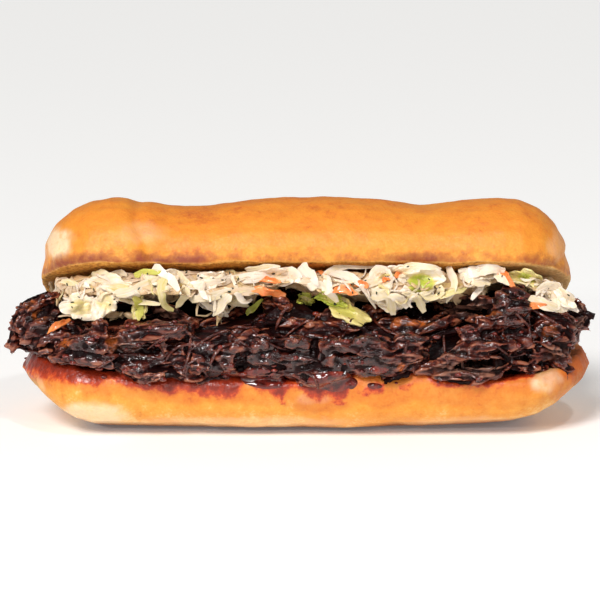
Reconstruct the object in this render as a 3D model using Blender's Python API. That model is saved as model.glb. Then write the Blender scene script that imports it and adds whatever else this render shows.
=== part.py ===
"""A barbecue brisket sub: a hinged sub roll, opened to the front, over a heap of shredded
brisket and a heap of coleslaw.

Frame: X along the roll, the open side to -Y, +Z up, origin under the middle of the whole on
the surface that it rests on. Metres throughout; MM turns the sizes below into metres.
"""

import math
import random

import bmesh
import bpy
from mathutils import Matrix, Vector, noise

MM = 0.001

# The roll before it was cut and opened
ROLL_LENGTH = 190 * MM
ROLL_WIDTH = 72 * MM
CROWN_HEIGHT = 33.5 * MM  # above the cut
BASE_HEIGHT = 26 * MM  # below the cut
END_ROUND = 26 * MM  # length over which each end rounds off
KEEL_ROUND = 29 * MM  # length over which the underside rises to each end
CROWN_LENGTH_SHARE = 0.93  # the crown has shrunk a little along its length
CROWN_FULLNESS = 2.3  # superellipse exponents of the section
BASE_FULLNESS = 2.9
ROLL_ROUND_FACES = 36
ROLL_LENGTH_FACES = 32

# How it opens: the crown swings up about a hinge line near the back
HINGE_Y = 23 * MM
HINGE_Z = 33 * MM
OPEN_ANGLE = math.radians(24)
BASE_LIP_Z = 19.5 * MM  # the base is pressed down at the front by the filling
LIP_TUCK = 2.2 * MM  # the crust turns in at the cut
ROCKER_LEFT = 1.0 * MM  # the underside lifts a little towards each end
ROCKER_RIGHT = 2.6 * MM

# Relief of the crust: soft dents (along, degrees up from the front, reach along, reach in degrees, depth)
CROWN_DENTS = (
    (-40 * MM, 75, 15 * MM, 55, 3.0 * MM),
    (-49 * MM, 25, 5 * MM, 40, 1.6 * MM),
    (43 * MM, 75, 13 * MM, 55, 2.6 * MM),
    (82 * MM, 12, 5 * MM, 9, 1.2 * MM),
)
CRUST_WAVE = 0.55 * MM

GAP = 0.4 * MM  # kept between neighbouring foods
SHRED_GAP = 0.6 * MM  # more between the two heaps, whose shreds are thin

# The two heaps, as rounded blocks: centre, half sizes
ROUNDNESS = 3.0
BRISKET = {"centre": Vector((-2, -7, 28)) * MM, "half": Vector((88, 31, 14)) * MM}
SLAW = {"centre": Vector((0, -7, 46)) * MM, "half": Vector((84, 26, 10.5)) * MM}

BRISKET_SEED = 12
SLAW_SEED = 5
BRISKET_FILL = 9  # shreds placed by rule, beside the named ones
SLAW_FILL = 24


# ---------------------------------------------------------------- general helpers


def clear_scene():
    for obj in list(bpy.data.objects):
        bpy.data.objects.remove(obj, do_unlink=True)


def smooth_step(low, high, value):
    t = min(1.0, max(0.0, (value - low) / (high - low)))
    return t * t * (3 - 2 * t)


def signed_power(value, power):
    return math.copysign(abs(value) ** power, value)


def new_collection(name):
    collection = bpy.data.collections.new(name)
    bpy.context.scene.collection.children.link(collection)
    return collection


def object_from(bm, name, collection):
    """Turns a bmesh into an object, with flat faces that all point out."""
    bmesh.ops.triangulate(bm, faces=bm.faces)
    bmesh.ops.recalc_face_normals(bm, faces=bm.faces)
    mesh = bpy.data.meshes.new(name)
    bm.to_mesh(mesh)
    bm.free()
    obj = bpy.data.objects.new(name, mesh)
    collection.objects.link(obj)
    return obj


def remove_objects(objects):
    for obj in list(objects):
        bpy.data.objects.remove(obj, do_unlink=True)


def apply_modifiers(obj):
    graph = bpy.context.evaluated_depsgraph_get()
    mesh = bpy.data.meshes.new_from_object(obj.evaluated_get(graph))
    obj.modifiers.clear()
    obj.data = mesh


def fuse(core, pieces, solver):
    """One union of the core with everything in a collection, which is then emptied."""
    joint = core.modifiers.new("fuse", "BOOLEAN")
    joint.operation = "UNION"
    joint.operand_type = "COLLECTION"
    joint.collection = pieces
    joint.solver = solver
    apply_modifiers(core)
    remove_objects(pieces.objects)
    bpy.data.collections.remove(pieces)


def cut_back(obj, cutter, solver="EXACT"):
    """Takes the cutter's volume away from the object."""
    cut = obj.modifiers.new("cut", "BOOLEAN")
    cut.operation = "DIFFERENCE"
    cut.object = cutter
    cut.solver = solver
    apply_modifiers(obj)


def shells_of(bm):
    """The separate closed surfaces in a bmesh, each as a list of faces."""
    left = set(bm.faces)
    shells = []
    while left:
        start = left.pop()
        shell, edge_of_shell = [start], [start]
        while edge_of_shell:
            face = edge_of_shell.pop()
            for edge in face.edges:
                for other in edge.link_faces:
                    if other in left:
                        left.remove(other)
                        shell.append(other)
                        edge_of_shell.append(other)
        shells.append(shell)
    return shells


def volume_of(faces):
    total = 0.0
    for face in faces:
        first, *rest = [loop.vert.co for loop in face.loops]
        for second, third in zip(rest, rest[1:]):
            total += first.dot(second.cross(third)) / 6
    return total


def keep_main_shell(obj):
    """Drops loose scraps and fills sealed hollows, so that one closed body is left."""
    bm = bmesh.new()
    bm.from_mesh(obj.data)
    shells = sorted(shells_of(bm), key=volume_of)
    spare = [face for shell in shells[:-1] for face in shell]
    bmesh.ops.delete(bm, geom=spare, context="FACES")
    bm.to_mesh(obj.data)
    bm.free()


def grown_copy(obj, distance, name, collection):
    """A copy of a closed mesh, moved out along its normals."""
    bm = bmesh.new()
    bm.from_mesh(obj.data)
    bmesh.ops.remove_doubles(bm, verts=bm.verts, dist=0.02 * MM)
    bm.normal_update()
    moved = [
        v.co + v.normal * distance * min(2.0, v.calc_shell_factor()) for v in bm.verts
    ]
    for vert, place in zip(bm.verts, moved):
        vert.co = place
    return object_from(bm, name, collection)


def food_material(name, colour, roughness):
    material = bpy.data.materials.new(name)
    material.use_nodes = True
    shader = material.node_tree.nodes["Principled BSDF"]
    shader.inputs["Base Color"].default_value = (*colour, 1)
    shader.inputs["Roughness"].default_value = roughness
    shader.inputs["Metallic"].default_value = 0
    return material


# ---------------------------------------------------------------- the roll


def crust_relief(x, up_angle):
    """How far the crust sinks (negative) or swells at a place on the closed roll."""
    change = CRUST_WAVE * noise.noise(Vector((x / (14 * MM), up_angle * 1.7, 3.1)))
    degrees = math.degrees(up_angle)
    for along, at, reach, reach_degrees, depth in CROWN_DENTS:
        near = ((x - along) / reach) ** 2 + ((degrees - at) / reach_degrees) ** 2
        change -= depth * math.exp(-near)
    return change


def closed_roll_point(direction):
    """A point of the uncut roll, for a direction of the unit sphere whose poles lie on X."""
    slope = math.asin(max(-1.0, min(1.0, direction.x)))
    up_angle = math.atan2(direction.z, -direction.y)  # 0 at the front, 90 degrees at the top
    half_face = math.pi / ROLL_ROUND_FACES
    lip = math.radians(1.0)
    spread = (math.pi - half_face - lip) / (math.pi - 2 * half_face)
    up_angle = math.copysign(lip + (abs(up_angle) - half_face) * spread, up_angle)

    straight = ROLL_LENGTH / 2 - END_ROUND
    arc = END_ROUND * math.pi / 2
    path = abs(slope) / (math.pi / 2) * (straight + arc)
    if path <= straight:
        along, narrowing = path, 1.0
    else:
        turn = (path - straight) / END_ROUND
        along = straight + END_ROUND * math.sin(turn)
        narrowing = max(0.0, math.cos(turn))
    x = math.copysign(along, direction.x)

    crown = up_angle > 0
    fullness = CROWN_FULLNESS if crown else BASE_FULLNESS
    height = CROWN_HEIGHT if crown else BASE_HEIGHT
    from_tip = min(1.0, (ROLL_LENGTH / 2 - along) / KEEL_ROUND)
    flattening = narrowing if crown else math.sin(math.pi / 2 * from_tip)
    relief = crust_relief(x, up_angle) * narrowing
    tuck = LIP_TUCK * math.exp(-((math.degrees(up_angle) / 9) ** 2)) if crown else 0.0
    half_width = (ROLL_WIDTH / 2 - tuck + relief) * narrowing
    y = -half_width * signed_power(math.cos(up_angle), 2 / fullness)
    z = (height + relief) * flattening * signed_power(math.sin(up_angle), 2 / fullness)
    return Vector((x, y, z))


def opened(point):
    """Moves a point of the closed roll, whose cut lies at z = 0, to its place when open."""
    if point.z >= 0:
        reach = HINGE_Y - point.y
        radius = math.hypot(reach, point.z)
        angle = math.atan2(point.z, reach)
        angle = OPEN_ANGLE + angle * (math.pi - OPEN_ANGLE) / math.pi
        share = smooth_step(-math.radians(20), math.radians(60), math.pi - angle)
        shrink = 1 - (1 - CROWN_LENGTH_SHARE) * share
        return Vector(
            (
                point.x * shrink,
                HINGE_Y - radius * math.cos(angle),
                HINGE_Z + radius * math.sin(angle),
            )
        )
    rise = smooth_step(-4 * MM, HINGE_Y + 2 * MM, point.y)
    cut_height = BASE_LIP_Z + (HINGE_Z - BASE_LIP_Z) * rise
    depth = -point.z / BASE_HEIGHT  # 0 at the cut, 1 at the underside
    lift = ROCKER_RIGHT * smooth_step(10 * MM, 88 * MM, point.x)
    lift += ROCKER_LEFT * smooth_step(20 * MM, 88 * MM, -point.x)
    return Vector((point.x, point.y, cut_height * (1 - depth) + lift * depth))


def mouth_cutter(collection):
    """The space between the two cut faces: an outline across the roll, drawn along X."""
    front = -60 * MM
    upper = OPEN_ANGLE + math.radians(1.2)
    outline = (
        (front, BASE_LIP_Z - 0.2 * MM),
        (-2 * MM, BASE_LIP_Z - 0.2 * MM),
        (10 * MM, BASE_LIP_Z + 2.6 * MM),
        (19 * MM, HINGE_Z - 4 * MM),
        (HINGE_Y + 1.4 * MM, HINGE_Z - 1 * MM),
        (HINGE_Y + 1.6 * MM, HINGE_Z + 0.4 * MM),
        (HINGE_Y, HINGE_Z + 1.6 * MM),
        (front, HINGE_Z + 1.6 * MM + (HINGE_Y - front) * math.tan(upper)),
    )
    bm = bmesh.new()
    start = -0.6 * ROLL_LENGTH
    loop = [bm.verts.new((start, y, z)) for y, z in outline]
    face = bm.faces.new(loop)
    spread = bmesh.ops.extrude_face_region(bm, geom=[face])["geom"]
    moved = [part for part in spread if isinstance(part, bmesh.types.BMVert)]
    bmesh.ops.translate(bm, verts=moved, vec=(1.2 * ROLL_LENGTH, 0, 0))
    return object_from(bm, "mouth_cutter", collection)


def make_roll(foods, cutters):
    bm = bmesh.new()
    bmesh.ops.create_uvsphere(
        bm, u_segments=ROLL_ROUND_FACES, v_segments=ROLL_LENGTH_FACES, radius=1
    )
    half_face = Matrix.Rotation(math.pi / ROLL_ROUND_FACES, 3, "Z")
    onto_x = Matrix.Rotation(math.pi / 2, 3, "Y")
    for vert in bm.verts:
        vert.co = opened(closed_roll_point(onto_x @ half_face @ vert.co))
    roll = object_from(bm, "roll", foods)
    cut_back(roll, mouth_cutter(cutters))
    keep_main_shell(roll)
    flatten_underside(roll)
    return roll


def flatten_underside(roll):
    """The roll rests on a true flat patch, cut 0.5 mm into its lowest crust."""
    bm = bmesh.new()
    bm.from_mesh(roll.data)
    plane = min(v.co.z for v in bm.verts) + 0.5 * MM
    geometry = bm.verts[:] + bm.edges[:] + bm.faces[:]
    cut = bmesh.ops.bisect_plane(
        bm,
        geom=geometry,
        dist=0.001 * MM,
        plane_co=(0, 0, plane),
        plane_no=(0, 0, 1),
        clear_inner=True,
    )["geom_cut"]
    rim = [part for part in cut if isinstance(part, bmesh.types.BMEdge)]
    bmesh.ops.contextual_create(bm, geom=rim)
    bmesh.ops.translate(bm, verts=bm.verts, vec=(0, 0, -plane))
    bmesh.ops.recalc_face_normals(bm, faces=bm.faces)
    bm.to_mesh(roll.data)
    bm.free()


# ---------------------------------------------------------------- heaps and what lies on them


def block_share(value):
    return max(0.0, 1 - value) ** (1 / ROUNDNESS)


def heap_front(heap, x, z):
    """The heap's front surface, as a Y, over a place in the front view."""
    centre, half = heap["centre"], heap["half"]
    used = abs((x - centre.x) / half.x) ** ROUNDNESS
    used += abs((z - centre.z) / half.z) ** ROUNDNESS
    return centre.y - half.y * block_share(used)


def heap_core(heap, name, collection, grow, faces_round, faces_long, wave):
    """The rounded block itself, with shallow lumps."""
    bm = bmesh.new()
    bmesh.ops.create_uvsphere(
        bm, u_segments=faces_round, v_segments=faces_long, radius=1
    )
    onto_x = Matrix.Rotation(math.pi / 2, 3, "Y")
    for vert in bm.verts:
        way = onto_x @ vert.co
        total = sum(abs(part) ** ROUNDNESS for part in way)
        way = way / total ** (1 / ROUNDNESS)
        place = Vector(part * size for part, size in zip(way, heap["half"]))
        lump = wave * noise.noise((place + heap["centre"]) / (9 * MM))
        outward = Vector(part / size for part, size in zip(way, heap["half"]))
        vert.co = heap["centre"] + place + outward.normalized() * (lump + grow)
    return object_from(bm, name, collection)


def loft(bm, sections):
    """Skins a row of equal loops and caps both ends. The two broad faces of a thin strip are
    split along the same diagonal, so that they stay parallel."""
    rows = [[bm.verts.new(point) for point in loop] for loop in sections]
    count = len(rows[0])
    for near, far in zip(rows, rows[1:]):
        for k in range(count):
            a, b = near[k], near[(k + 1) % count]
            c, d = far[(k + 1) % count], far[k]
            if k < count / 2:
                bm.faces.new((a, b, c))
                bm.faces.new((a, c, d))
            else:
                bm.faces.new((a, b, d))
                bm.faces.new((b, c, d))
    bm.faces.new(list(reversed(rows[0])))
    bm.faces.new(rows[-1])


def strip_sections(spine, widths, thicknesses, roll_angle, sides):
    """Oval loops (or, with 4 sides, flat boxes) across a spine. The broad side faces the
    front, turned about the spine by roll_angle at each step."""
    sections = []
    last = len(spine) - 1
    for i, point in enumerate(spine):
        ahead = (spine[min(i + 1, last)] - spine[max(i - 1, 0)]).normalized()
        facing = Vector((0, -1, 0.35))
        facing = (facing - ahead * facing.dot(ahead)).normalized()
        facing = Matrix.Rotation(roll_angle * (i / last - 0.5), 3, ahead) @ facing
        across = ahead.cross(facing)
        loop = []
        for k in range(sides):
            turn = 2 * math.pi * (k + 0.5) / sides
            stretch = math.sqrt(2) if sides == 4 else 1.0
            loop.append(
                point
                + across * math.cos(turn) * widths[i] * stretch / 2
                + facing * math.sin(turn) * thicknesses[i] * stretch / 2
            )
        sections.append(loop)
    return sections


def arc_spine(heaps, start, end, bow, lift, steps):
    """A spine drawn on the front of the heaps from start to end, (x, z) each, bowed to one
    side in the front view and lifted off them. The ends dip back towards them."""
    points = []
    run = Vector((end[0] - start[0], end[1] - start[1]))
    sideways = Vector((-run.y, run.x)).normalized()
    for i in range(steps + 1):
        t = i / steps
        belly = 4 * t * (1 - t)
        place = Vector(start) + run * t + sideways * bow * belly
        front = min(heap_front(heap, place.x, place.y) for heap in heaps)
        y = front - lift * (0.35 + 0.65 * belly)
        points.append(Vector((place.x, y, place.y)))
    return points


def add_shred(pieces, name, spine, thickness, flatness, grow, twist=0.6):
    """A shred of meat: a tapered, slightly flattened bundle of fibres."""
    last = len(spine) - 1
    spine = [
        spine[0] + (spine[0] - spine[1]).normalized() * grow,
        *spine[1:-1],
        spine[-1] + (spine[-1] - spine[-2]).normalized() * grow,
    ]
    taper = [
        0.45 + 0.55 * math.sin(math.pi * (0.12 + 0.76 * i / last)) for i in range(last + 1)
    ]
    widths = [thickness * flatness * t + 2 * grow for t in taper]
    thicknesses = [thickness * t + 2 * grow for t in taper]
    bm = bmesh.new()
    loft(bm, strip_sections(spine, widths, thicknesses, twist, 5))
    object_from(bm, name, pieces)


def add_lump(pieces, name, centre, half, grow, seed):
    """A chunk of meat with a rough surface."""
    bm = bmesh.new()
    bmesh.ops.create_icosphere(bm, subdivisions=2, radius=1)
    for vert in bm.verts:
        rough = 1 + 0.45 * noise.noise(vert.co * 1.7 + Vector((seed, 0, 0)))
        place = Vector(part * size * rough for part, size in zip(vert.co, half))
        vert.co = centre + place + vert.co * grow
    object_from(bm, name, pieces)


# Named shreds of the brisket: start and end in the front view (x, z), bow, lift, thickness,
# flatness, in millimetres
BRISKET_SHREDS = (
    ((-64, 31), (-36, 36), 1.5, 3.0, 8.0, 1.2),  # rough log, left
    ((-57, 41), (-36, 39), 1.0, 1.5, 4.0, 2.2),  # smooth slab under the slaw
    ((-30, 26), (3, 38), 6.5, 4.0, 3.8, 1.1),  # outer arc of fibres
    ((-25, 26), (1, 34), 4.5, 3.5, 3.2, 1.1),  # inner arc
    ((-30, 36), (-4, 43), -1.0, 2.5, 4.5, 1.2),  # strand climbing to the slaw
    ((0, 40), (26, 33), 3.0, 3.0, 5.5, 1.3),  # slab right of the arcs
    ((6, 33), (30, 29), 2.0, 4.0, 5.0, 1.3),
    ((28, 29), (55, 38), 1.5, 3.5, 4.5, 1.3),  # long diagonal strands
    ((34, 33), (66, 37), 2.0, 3.0, 5.0, 1.4),
    ((44, 27), (73, 30), 2.5, 4.0, 5.0, 1.2),  # upper log, right
    ((41, 21), (66, 24), -2.0, 4.5, 5.5, 1.2),  # lower log, right
    ((52, 41), (68, 44), 0.5, 2.0, 5.5, 1.3),
    ((-88, 26), (-62, 25), 1.0, 3.0, 5.5, 1.3),
    ((-58, 25), (-38, 22), -1.0, 4.0, 5.0, 1.2),
    ((66, 24), (84, 22), -1.5, 3.5, 2.4, 1.2),  # thin strand over the base's lip
)

# Chunks: centre, half sizes in millimetres
BRISKET_LUMPS = (
    ((-86, -12, 34), (10, 13, 10.5)),
    ((-69, -35, 30), (7, 5.5, 7.5)),
    ((-36, -35, 26), (8, 5.5, 8)),
    ((-13, -36, 27), (8.5, 5, 7.5)),
    ((4, -36, 23), (10, 5, 6)),
    ((-7, -27, 42), (10, 6, 5)),
    ((22, -36, 27), (10, 4.5, 7)),
    ((65, -26, 42), (9, 8, 7)),
    ((79, -17, 33), (9, 15, 10)),
)

# Free strands at the ends, as points (x, y, z), then thickness, in millimetres
BRISKET_END_STRANDS = (
    (((-82, -20, 43), (-92, -18, 41), (-96.5, -17, 34), (-97.6, -17, 26)), 4.4),
    (((-84, -5, 44), (-94, -4, 39), (-96, -4, 29)), 5.0),
    (((-74, 2, 36), (-90, 4, 36), (-93, 5, 27)), 4.0),
    (((74, -24, 44), (85, -20, 41), (88, -18, 32), (84, -16, 24)), 4.6),
    (((74, -8, 39), (87, -6, 38), (90, -4, 29)), 5.0),
    (((84, -20, 40), (90, -20, 39.5), (95.4, -20, 37.5)), 2.4),
    (((72, -30, 36), (80, -28, 28), (86, -26, 21)), 3.2),
)


def smooth_path(points, steps):
    """A curve through a few points (Catmull-Rom), as evenly many steps for each stretch."""
    ends = [2 * points[0] - points[1], *points, 2 * points[-1] - points[-2]]
    path = []
    for a, b, c, d in zip(ends, ends[1:], ends[2:], ends[3:]):
        for i in range(steps):
            t = i / steps
            path.append(
                0.5
                * (
                    2 * b
                    + (c - a) * t
                    + (2 * a - 5 * b + 4 * c - d) * t**2
                    + (3 * b - a - 3 * c + d) * t**3
                )
            )
    return [*path, points[-1]]


def brisket_heap(name, collection, grow):
    """The whole heap of meat; grow swells every piece, to make the space that it needs."""
    core = heap_core(BRISKET, name, collection, grow, 16, 20, 1.6 * MM)
    pieces = new_collection(name + "_pieces")
    for start, end, bow, lift, thickness, flatness in BRISKET_SHREDS:
        spine = arc_spine(
            [BRISKET],
            Vector(start) * MM,
            Vector(end) * MM,
            bow * MM,
            lift * MM,
            5,
        )
        add_shred(pieces, "shred", spine, thickness * MM, flatness, grow)
    for number, (centre, half) in enumerate(BRISKET_LUMPS):
        add_lump(
            pieces, "lump", Vector(centre) * MM, Vector(half) * MM, grow, 7.3 * number
        )
    for points, thickness in BRISKET_END_STRANDS:
        path = smooth_path([Vector(point) * MM for point in points], 2)
        add_shred(pieces, "end_strand", path, thickness * MM, 1.3, grow)
    draw = random.Random(BRISKET_SEED)
    for _ in range(BRISKET_FILL):
        x = draw.uniform(-80, 76) * MM
        z = draw.uniform(18, 41) * MM
        heading = math.radians(draw.gauss(12, 28))
        reach = draw.uniform(6, 12) * MM
        along, up = reach * math.cos(heading), reach * math.sin(heading) * 0.7
        spine = arc_spine(
            [BRISKET],
            (x - along, z - up),
            (x + along, z + up),
            draw.uniform(-2, 2.5) * MM,
            draw.uniform(2.0, 3.4) * MM,
            3,
        )
        add_shred(pieces, "fill", spine, draw.uniform(3, 5) * MM, 1.3, grow)
    fuse(core, pieces, "EXACT")
    keep_main_shell(core)
    return core


# Named shreds of the slaw: start and end in the front view (x, z), bow, lift, width, in
# millimetres; the heap that they lie on is the slaw unless they hang over the meat
SLAW_SHREDS = (
    ((-81, 43), (-66, 46), 1.5, 2.0, 3.4),
    ((-73, 39), (-58, 36), 1.0, 5.5, 6.5),
    ((-76, 32), (-67, 36), 0.0, 6.0, 3.0),
    ((-62, 49), (-46, 45), 1.5, 2.5, 3.6),
    ((-55, 53), (-42, 44), 1.0, 3.0, 3.6),
    ((-58, 38), (-43, 38), -2.0, 5.0, 4.0),
    ((-45, 50), (-35, 42), 1.5, 3.0, 4.4),
    ((-36, 45), (-12, 50), 1.0, 3.0, 5.0),
    ((-37, 45), (-26, 36), 1.0, 5.0, 3.4),
    ((-30, 35), (-20, 44), 0.5, 5.5, 3.4),
    ((-12, 48), (8, 52), 1.5, 3.0, 5.5),
    ((-13, 37), (-7, 42), 0.3, 7.0, 2.6),
    ((8, 45), (22, 36), -1.0, 6.0, 5.5),
    ((10, 52), (24, 41), 1.5, 4.5, 3.6),
    ((22, 49), (36, 48), 1.5, 3.5, 8.0),
    ((28, 39), (33, 47), 0.5, 6.0, 4.2),
    ((46, 51), (52, 39), -1.5, 3.5, 3.4),
    ((54, 47), (66, 50), 1.0, 3.5, 5.0),
    ((52, 38), (59, 46), 1.0, 4.5, 3.0),
    ((73, 47), (80, 42), 0.5, 3.0, 6.0),
    ((77, 44), (86, 39), 0.8, 4.0, 4.4),
)


def slaw_heap(name, collection):
    core = heap_core(SLAW, name, collection, 0.0, 14, 16, 1.4 * MM)
    pieces = new_collection(name + "_pieces")
    for start, end, bow, lift, width in SLAW_SHREDS:
        spine = arc_spine(
            [SLAW, BRISKET], Vector(start) * MM, Vector(end) * MM, bow * MM, lift * MM, 4
        )
        count = len(spine)
        bm = bmesh.new()
        loft(bm, strip_sections(spine, [width * MM] * count, [1.5 * MM] * count, 0.7, 4))
        object_from(bm, "shred", pieces)
    draw = random.Random(SLAW_SEED)
    for _ in range(SLAW_FILL):
        x = draw.uniform(-80, 78) * MM
        z = draw.uniform(43, 56) * MM
        heading = draw.uniform(0, math.pi)
        reach = draw.uniform(4, 8) * MM
        along, up = reach * math.cos(heading), reach * math.sin(heading) * 0.6
        spine = arc_spine(
            [SLAW],
            (x - along, z - up),
            (x + along, z + up),
            draw.uniform(-1.5, 1.5) * MM,
            draw.uniform(1.6, 3.2) * MM,
            3,
        )
        widths = [draw.uniform(2.4, 3.8) * MM] * len(spine)
        bm = bmesh.new()
        loft(bm, strip_sections(spine, widths, [1.3 * MM] * len(spine), 0.9, 4))
        object_from(bm, "fill", pieces)
    fuse(core, pieces, "MANIFOLD")
    keep_main_shell(core)
    return core


# ---------------------------------------------------------------- putting it together


def centre_on_origin(foods):
    """Moves everything so that the origin is under the middle of the whole."""
    corners = [v.co for obj in foods.objects for v in obj.data.vertices]
    shift = Vector(
        (
            -(min(c.x for c in corners) + max(c.x for c in corners)) / 2,
            -(min(c.y for c in corners) + max(c.y for c in corners)) / 2,
            -min(c.z for c in corners),
        )
    )
    for obj in foods.objects:
        obj.data.transform(Matrix.Translation(shift))


def main():
    clear_scene()
    foods = new_collection("brisket_sub")
    cutters = new_collection("cutters")

    roll = make_roll(foods, cutters)
    roll_room = grown_copy(roll, GAP, "roll_room", cutters)

    brisket = brisket_heap("brisket", foods, 0.0)
    cut_back(brisket, roll_room, "MANIFOLD")
    keep_main_shell(brisket)

    brisket_room = brisket_heap("brisket_room", cutters, SHRED_GAP)
    slaw = slaw_heap("coleslaw", foods)
    cut_back(slaw, roll_room, "MANIFOLD")
    cut_back(slaw, brisket_room, "MANIFOLD")
    keep_main_shell(slaw)

    remove_objects(cutters.objects)
    bpy.data.collections.remove(cutters)
    centre_on_origin(foods)

    roll.data.materials.append(food_material("baked_crust", (0.72, 0.34, 0.09), 0.5))
    brisket.data.materials.append(food_material("sauced_beef", (0.07, 0.02, 0.012), 0.25))
    slaw.data.materials.append(food_material("dressed_cabbage", (0.85, 0.8, 0.58), 0.35))
    roll.data.shade_smooth()


main()
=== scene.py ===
import math
import random

import bpy
import numpy as np
from mathutils import Matrix, Vector, noise
from mathutils.bvhtree import BVHTree
from mathutils.kdtree import KDTree


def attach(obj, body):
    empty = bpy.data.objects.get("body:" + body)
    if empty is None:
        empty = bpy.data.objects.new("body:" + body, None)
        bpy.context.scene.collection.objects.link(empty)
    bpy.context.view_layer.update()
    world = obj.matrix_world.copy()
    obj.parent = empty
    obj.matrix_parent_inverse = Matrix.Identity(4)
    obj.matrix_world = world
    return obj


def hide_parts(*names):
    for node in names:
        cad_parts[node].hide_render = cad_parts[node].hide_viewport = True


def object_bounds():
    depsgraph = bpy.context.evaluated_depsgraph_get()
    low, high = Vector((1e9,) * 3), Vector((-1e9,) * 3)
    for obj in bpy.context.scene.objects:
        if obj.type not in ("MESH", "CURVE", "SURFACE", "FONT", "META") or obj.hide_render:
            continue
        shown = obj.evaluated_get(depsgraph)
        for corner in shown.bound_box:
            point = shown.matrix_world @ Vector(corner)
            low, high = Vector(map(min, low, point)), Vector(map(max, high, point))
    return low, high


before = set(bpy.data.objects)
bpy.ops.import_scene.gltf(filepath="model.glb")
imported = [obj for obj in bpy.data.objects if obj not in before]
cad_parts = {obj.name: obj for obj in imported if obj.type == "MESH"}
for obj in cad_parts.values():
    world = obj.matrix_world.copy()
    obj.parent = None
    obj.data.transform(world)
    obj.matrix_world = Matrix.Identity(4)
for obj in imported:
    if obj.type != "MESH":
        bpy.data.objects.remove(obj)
cadBox = [list(corner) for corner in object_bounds()]
mm = 0.001


def selectOnly(*objects):
    bpy.ops.object.select_all(action="DESELECT")
    for obj in objects:
        obj.select_set(True)
    bpy.context.view_layer.objects.active = objects[0]


def applyModifier(obj, kind, **settings):
    selectOnly(obj)
    modifier = obj.modifiers.new(kind.lower(), kind)
    for key, value in settings.items():
        setattr(modifier, key, value)
    bpy.ops.object.modifier_apply(modifier=modifier.name)


def faceOutward(obj, merge=0):
    selectOnly(obj)
    bpy.ops.object.mode_set(mode="EDIT")
    bpy.ops.mesh.select_all(action="SELECT")
    if merge:
        bpy.ops.mesh.remove_doubles(threshold=merge)
    bpy.ops.mesh.normals_make_consistent(inside=False)
    bpy.ops.object.mode_set(mode="OBJECT")


def copyOfNode(nodeName, name):
    # the CAD node is loose triangles, so the copy is merged before it is shaped
    obj = bpy.data.objects.new(name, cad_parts[nodeName].data.copy())
    bpy.context.scene.collection.objects.link(obj)
    obj.data.materials.clear()
    faceOutward(obj, 0.02 * mm)
    return obj


def pointsOf(obj):
    co = np.empty(len(obj.data.vertices) * 3, np.float32)
    obj.data.vertices.foreach_get("co", co)
    return co.reshape(-1, 3).astype(float)


def normalsOf(obj):
    no = np.empty(len(obj.data.vertices) * 3, np.float32)
    obj.data.vertex_normals.foreach_get("vector", no)
    return no.reshape(-1, 3).astype(float)


def putPoints(obj, points):
    obj.data.vertices.foreach_set("co", points.astype(np.float32).ravel())
    obj.data.update()


def facesOf(obj):
    return [tuple(polygon.vertices) for polygon in obj.data.polygons]


def noiseField(points, size, seed=0.0):
    # smooth noise from -1 to 1, its features about one size across
    shift = Vector((seed, seed * 1.7, -seed))
    return np.array([noise.noise(Vector(p) / size + shift) for p in points])


def smoothStep(low, high, value):
    t = np.clip((value - low) / (high - low), 0, 1)
    return t * t * (3 - 2 * t)


def giveAttribute(obj, name, values):
    attribute = obj.data.attributes.new(name, "FLOAT", "POINT")
    attribute.data.foreach_set("value", np.asarray(values, np.float32))


def smoothShade(obj, angle=None):
    selectOnly(obj)
    if angle is None:
        bpy.ops.object.shade_smooth()
    else:
        bpy.ops.object.shade_smooth_by_angle(angle=math.radians(angle))


def hexColour(code):
    channels = [int(code[i:i + 2], 16) / 255 for i in (1, 3, 5)]
    linear = [c / 12.92 if c <= 0.04045 else ((c + 0.055) / 1.055) ** 2.4 for c in channels]
    return (*linear, 1)


def setStops(elements, stops):
    # the stops of a colour ramp: a place with a hex code or a grey value
    for _ in stops[2:]:
        elements.new(0.5)
    for element, (position, colour) in zip(elements, stops):
        element.position = position
        element.color = hexColour(colour) if isinstance(colour, str) else (colour, colour, colour, 1)


def addNode(tree, kind, settings=None, inputs=(), give=None):
    # inputs go in order or by name: another node's output, a number, or a colour as a hex code;
    # what comes back is the output asked for, or else the first one in use
    node = tree.nodes.new("ShaderNode" + kind)
    for name, value in (settings or {}).items():
        if name == "stops":
            setStops(node.color_ramp.elements, value)
        else:
            setattr(node, name, value)
    sockets = [socket for socket in node.inputs if socket.enabled]
    for name, value in inputs.items() if isinstance(inputs, dict) else enumerate(inputs):
        socket = sockets[name] if isinstance(name, int) else node.inputs[name]
        if isinstance(value, bpy.types.NodeSocket):
            tree.links.new(value, socket)
        else:
            socket.default_value = hexColour(value) if isinstance(value, str) else value
    if give:
        return node.outputs[give]
    return next((socket for socket in node.outputs if socket.enabled), None)


def sumOf(tree, start, *terms, limited=False):
    # the start plus each value times its weight; a limited sum stays between 0 and 1
    for number, (value, weight) in enumerate(terms, 1):
        settings = {"operation": "MULTIPLY_ADD", "use_clamp": limited and number == len(terms)}
        start = addNode(tree, "Math", settings, (value, weight, start))
    return start


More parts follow.
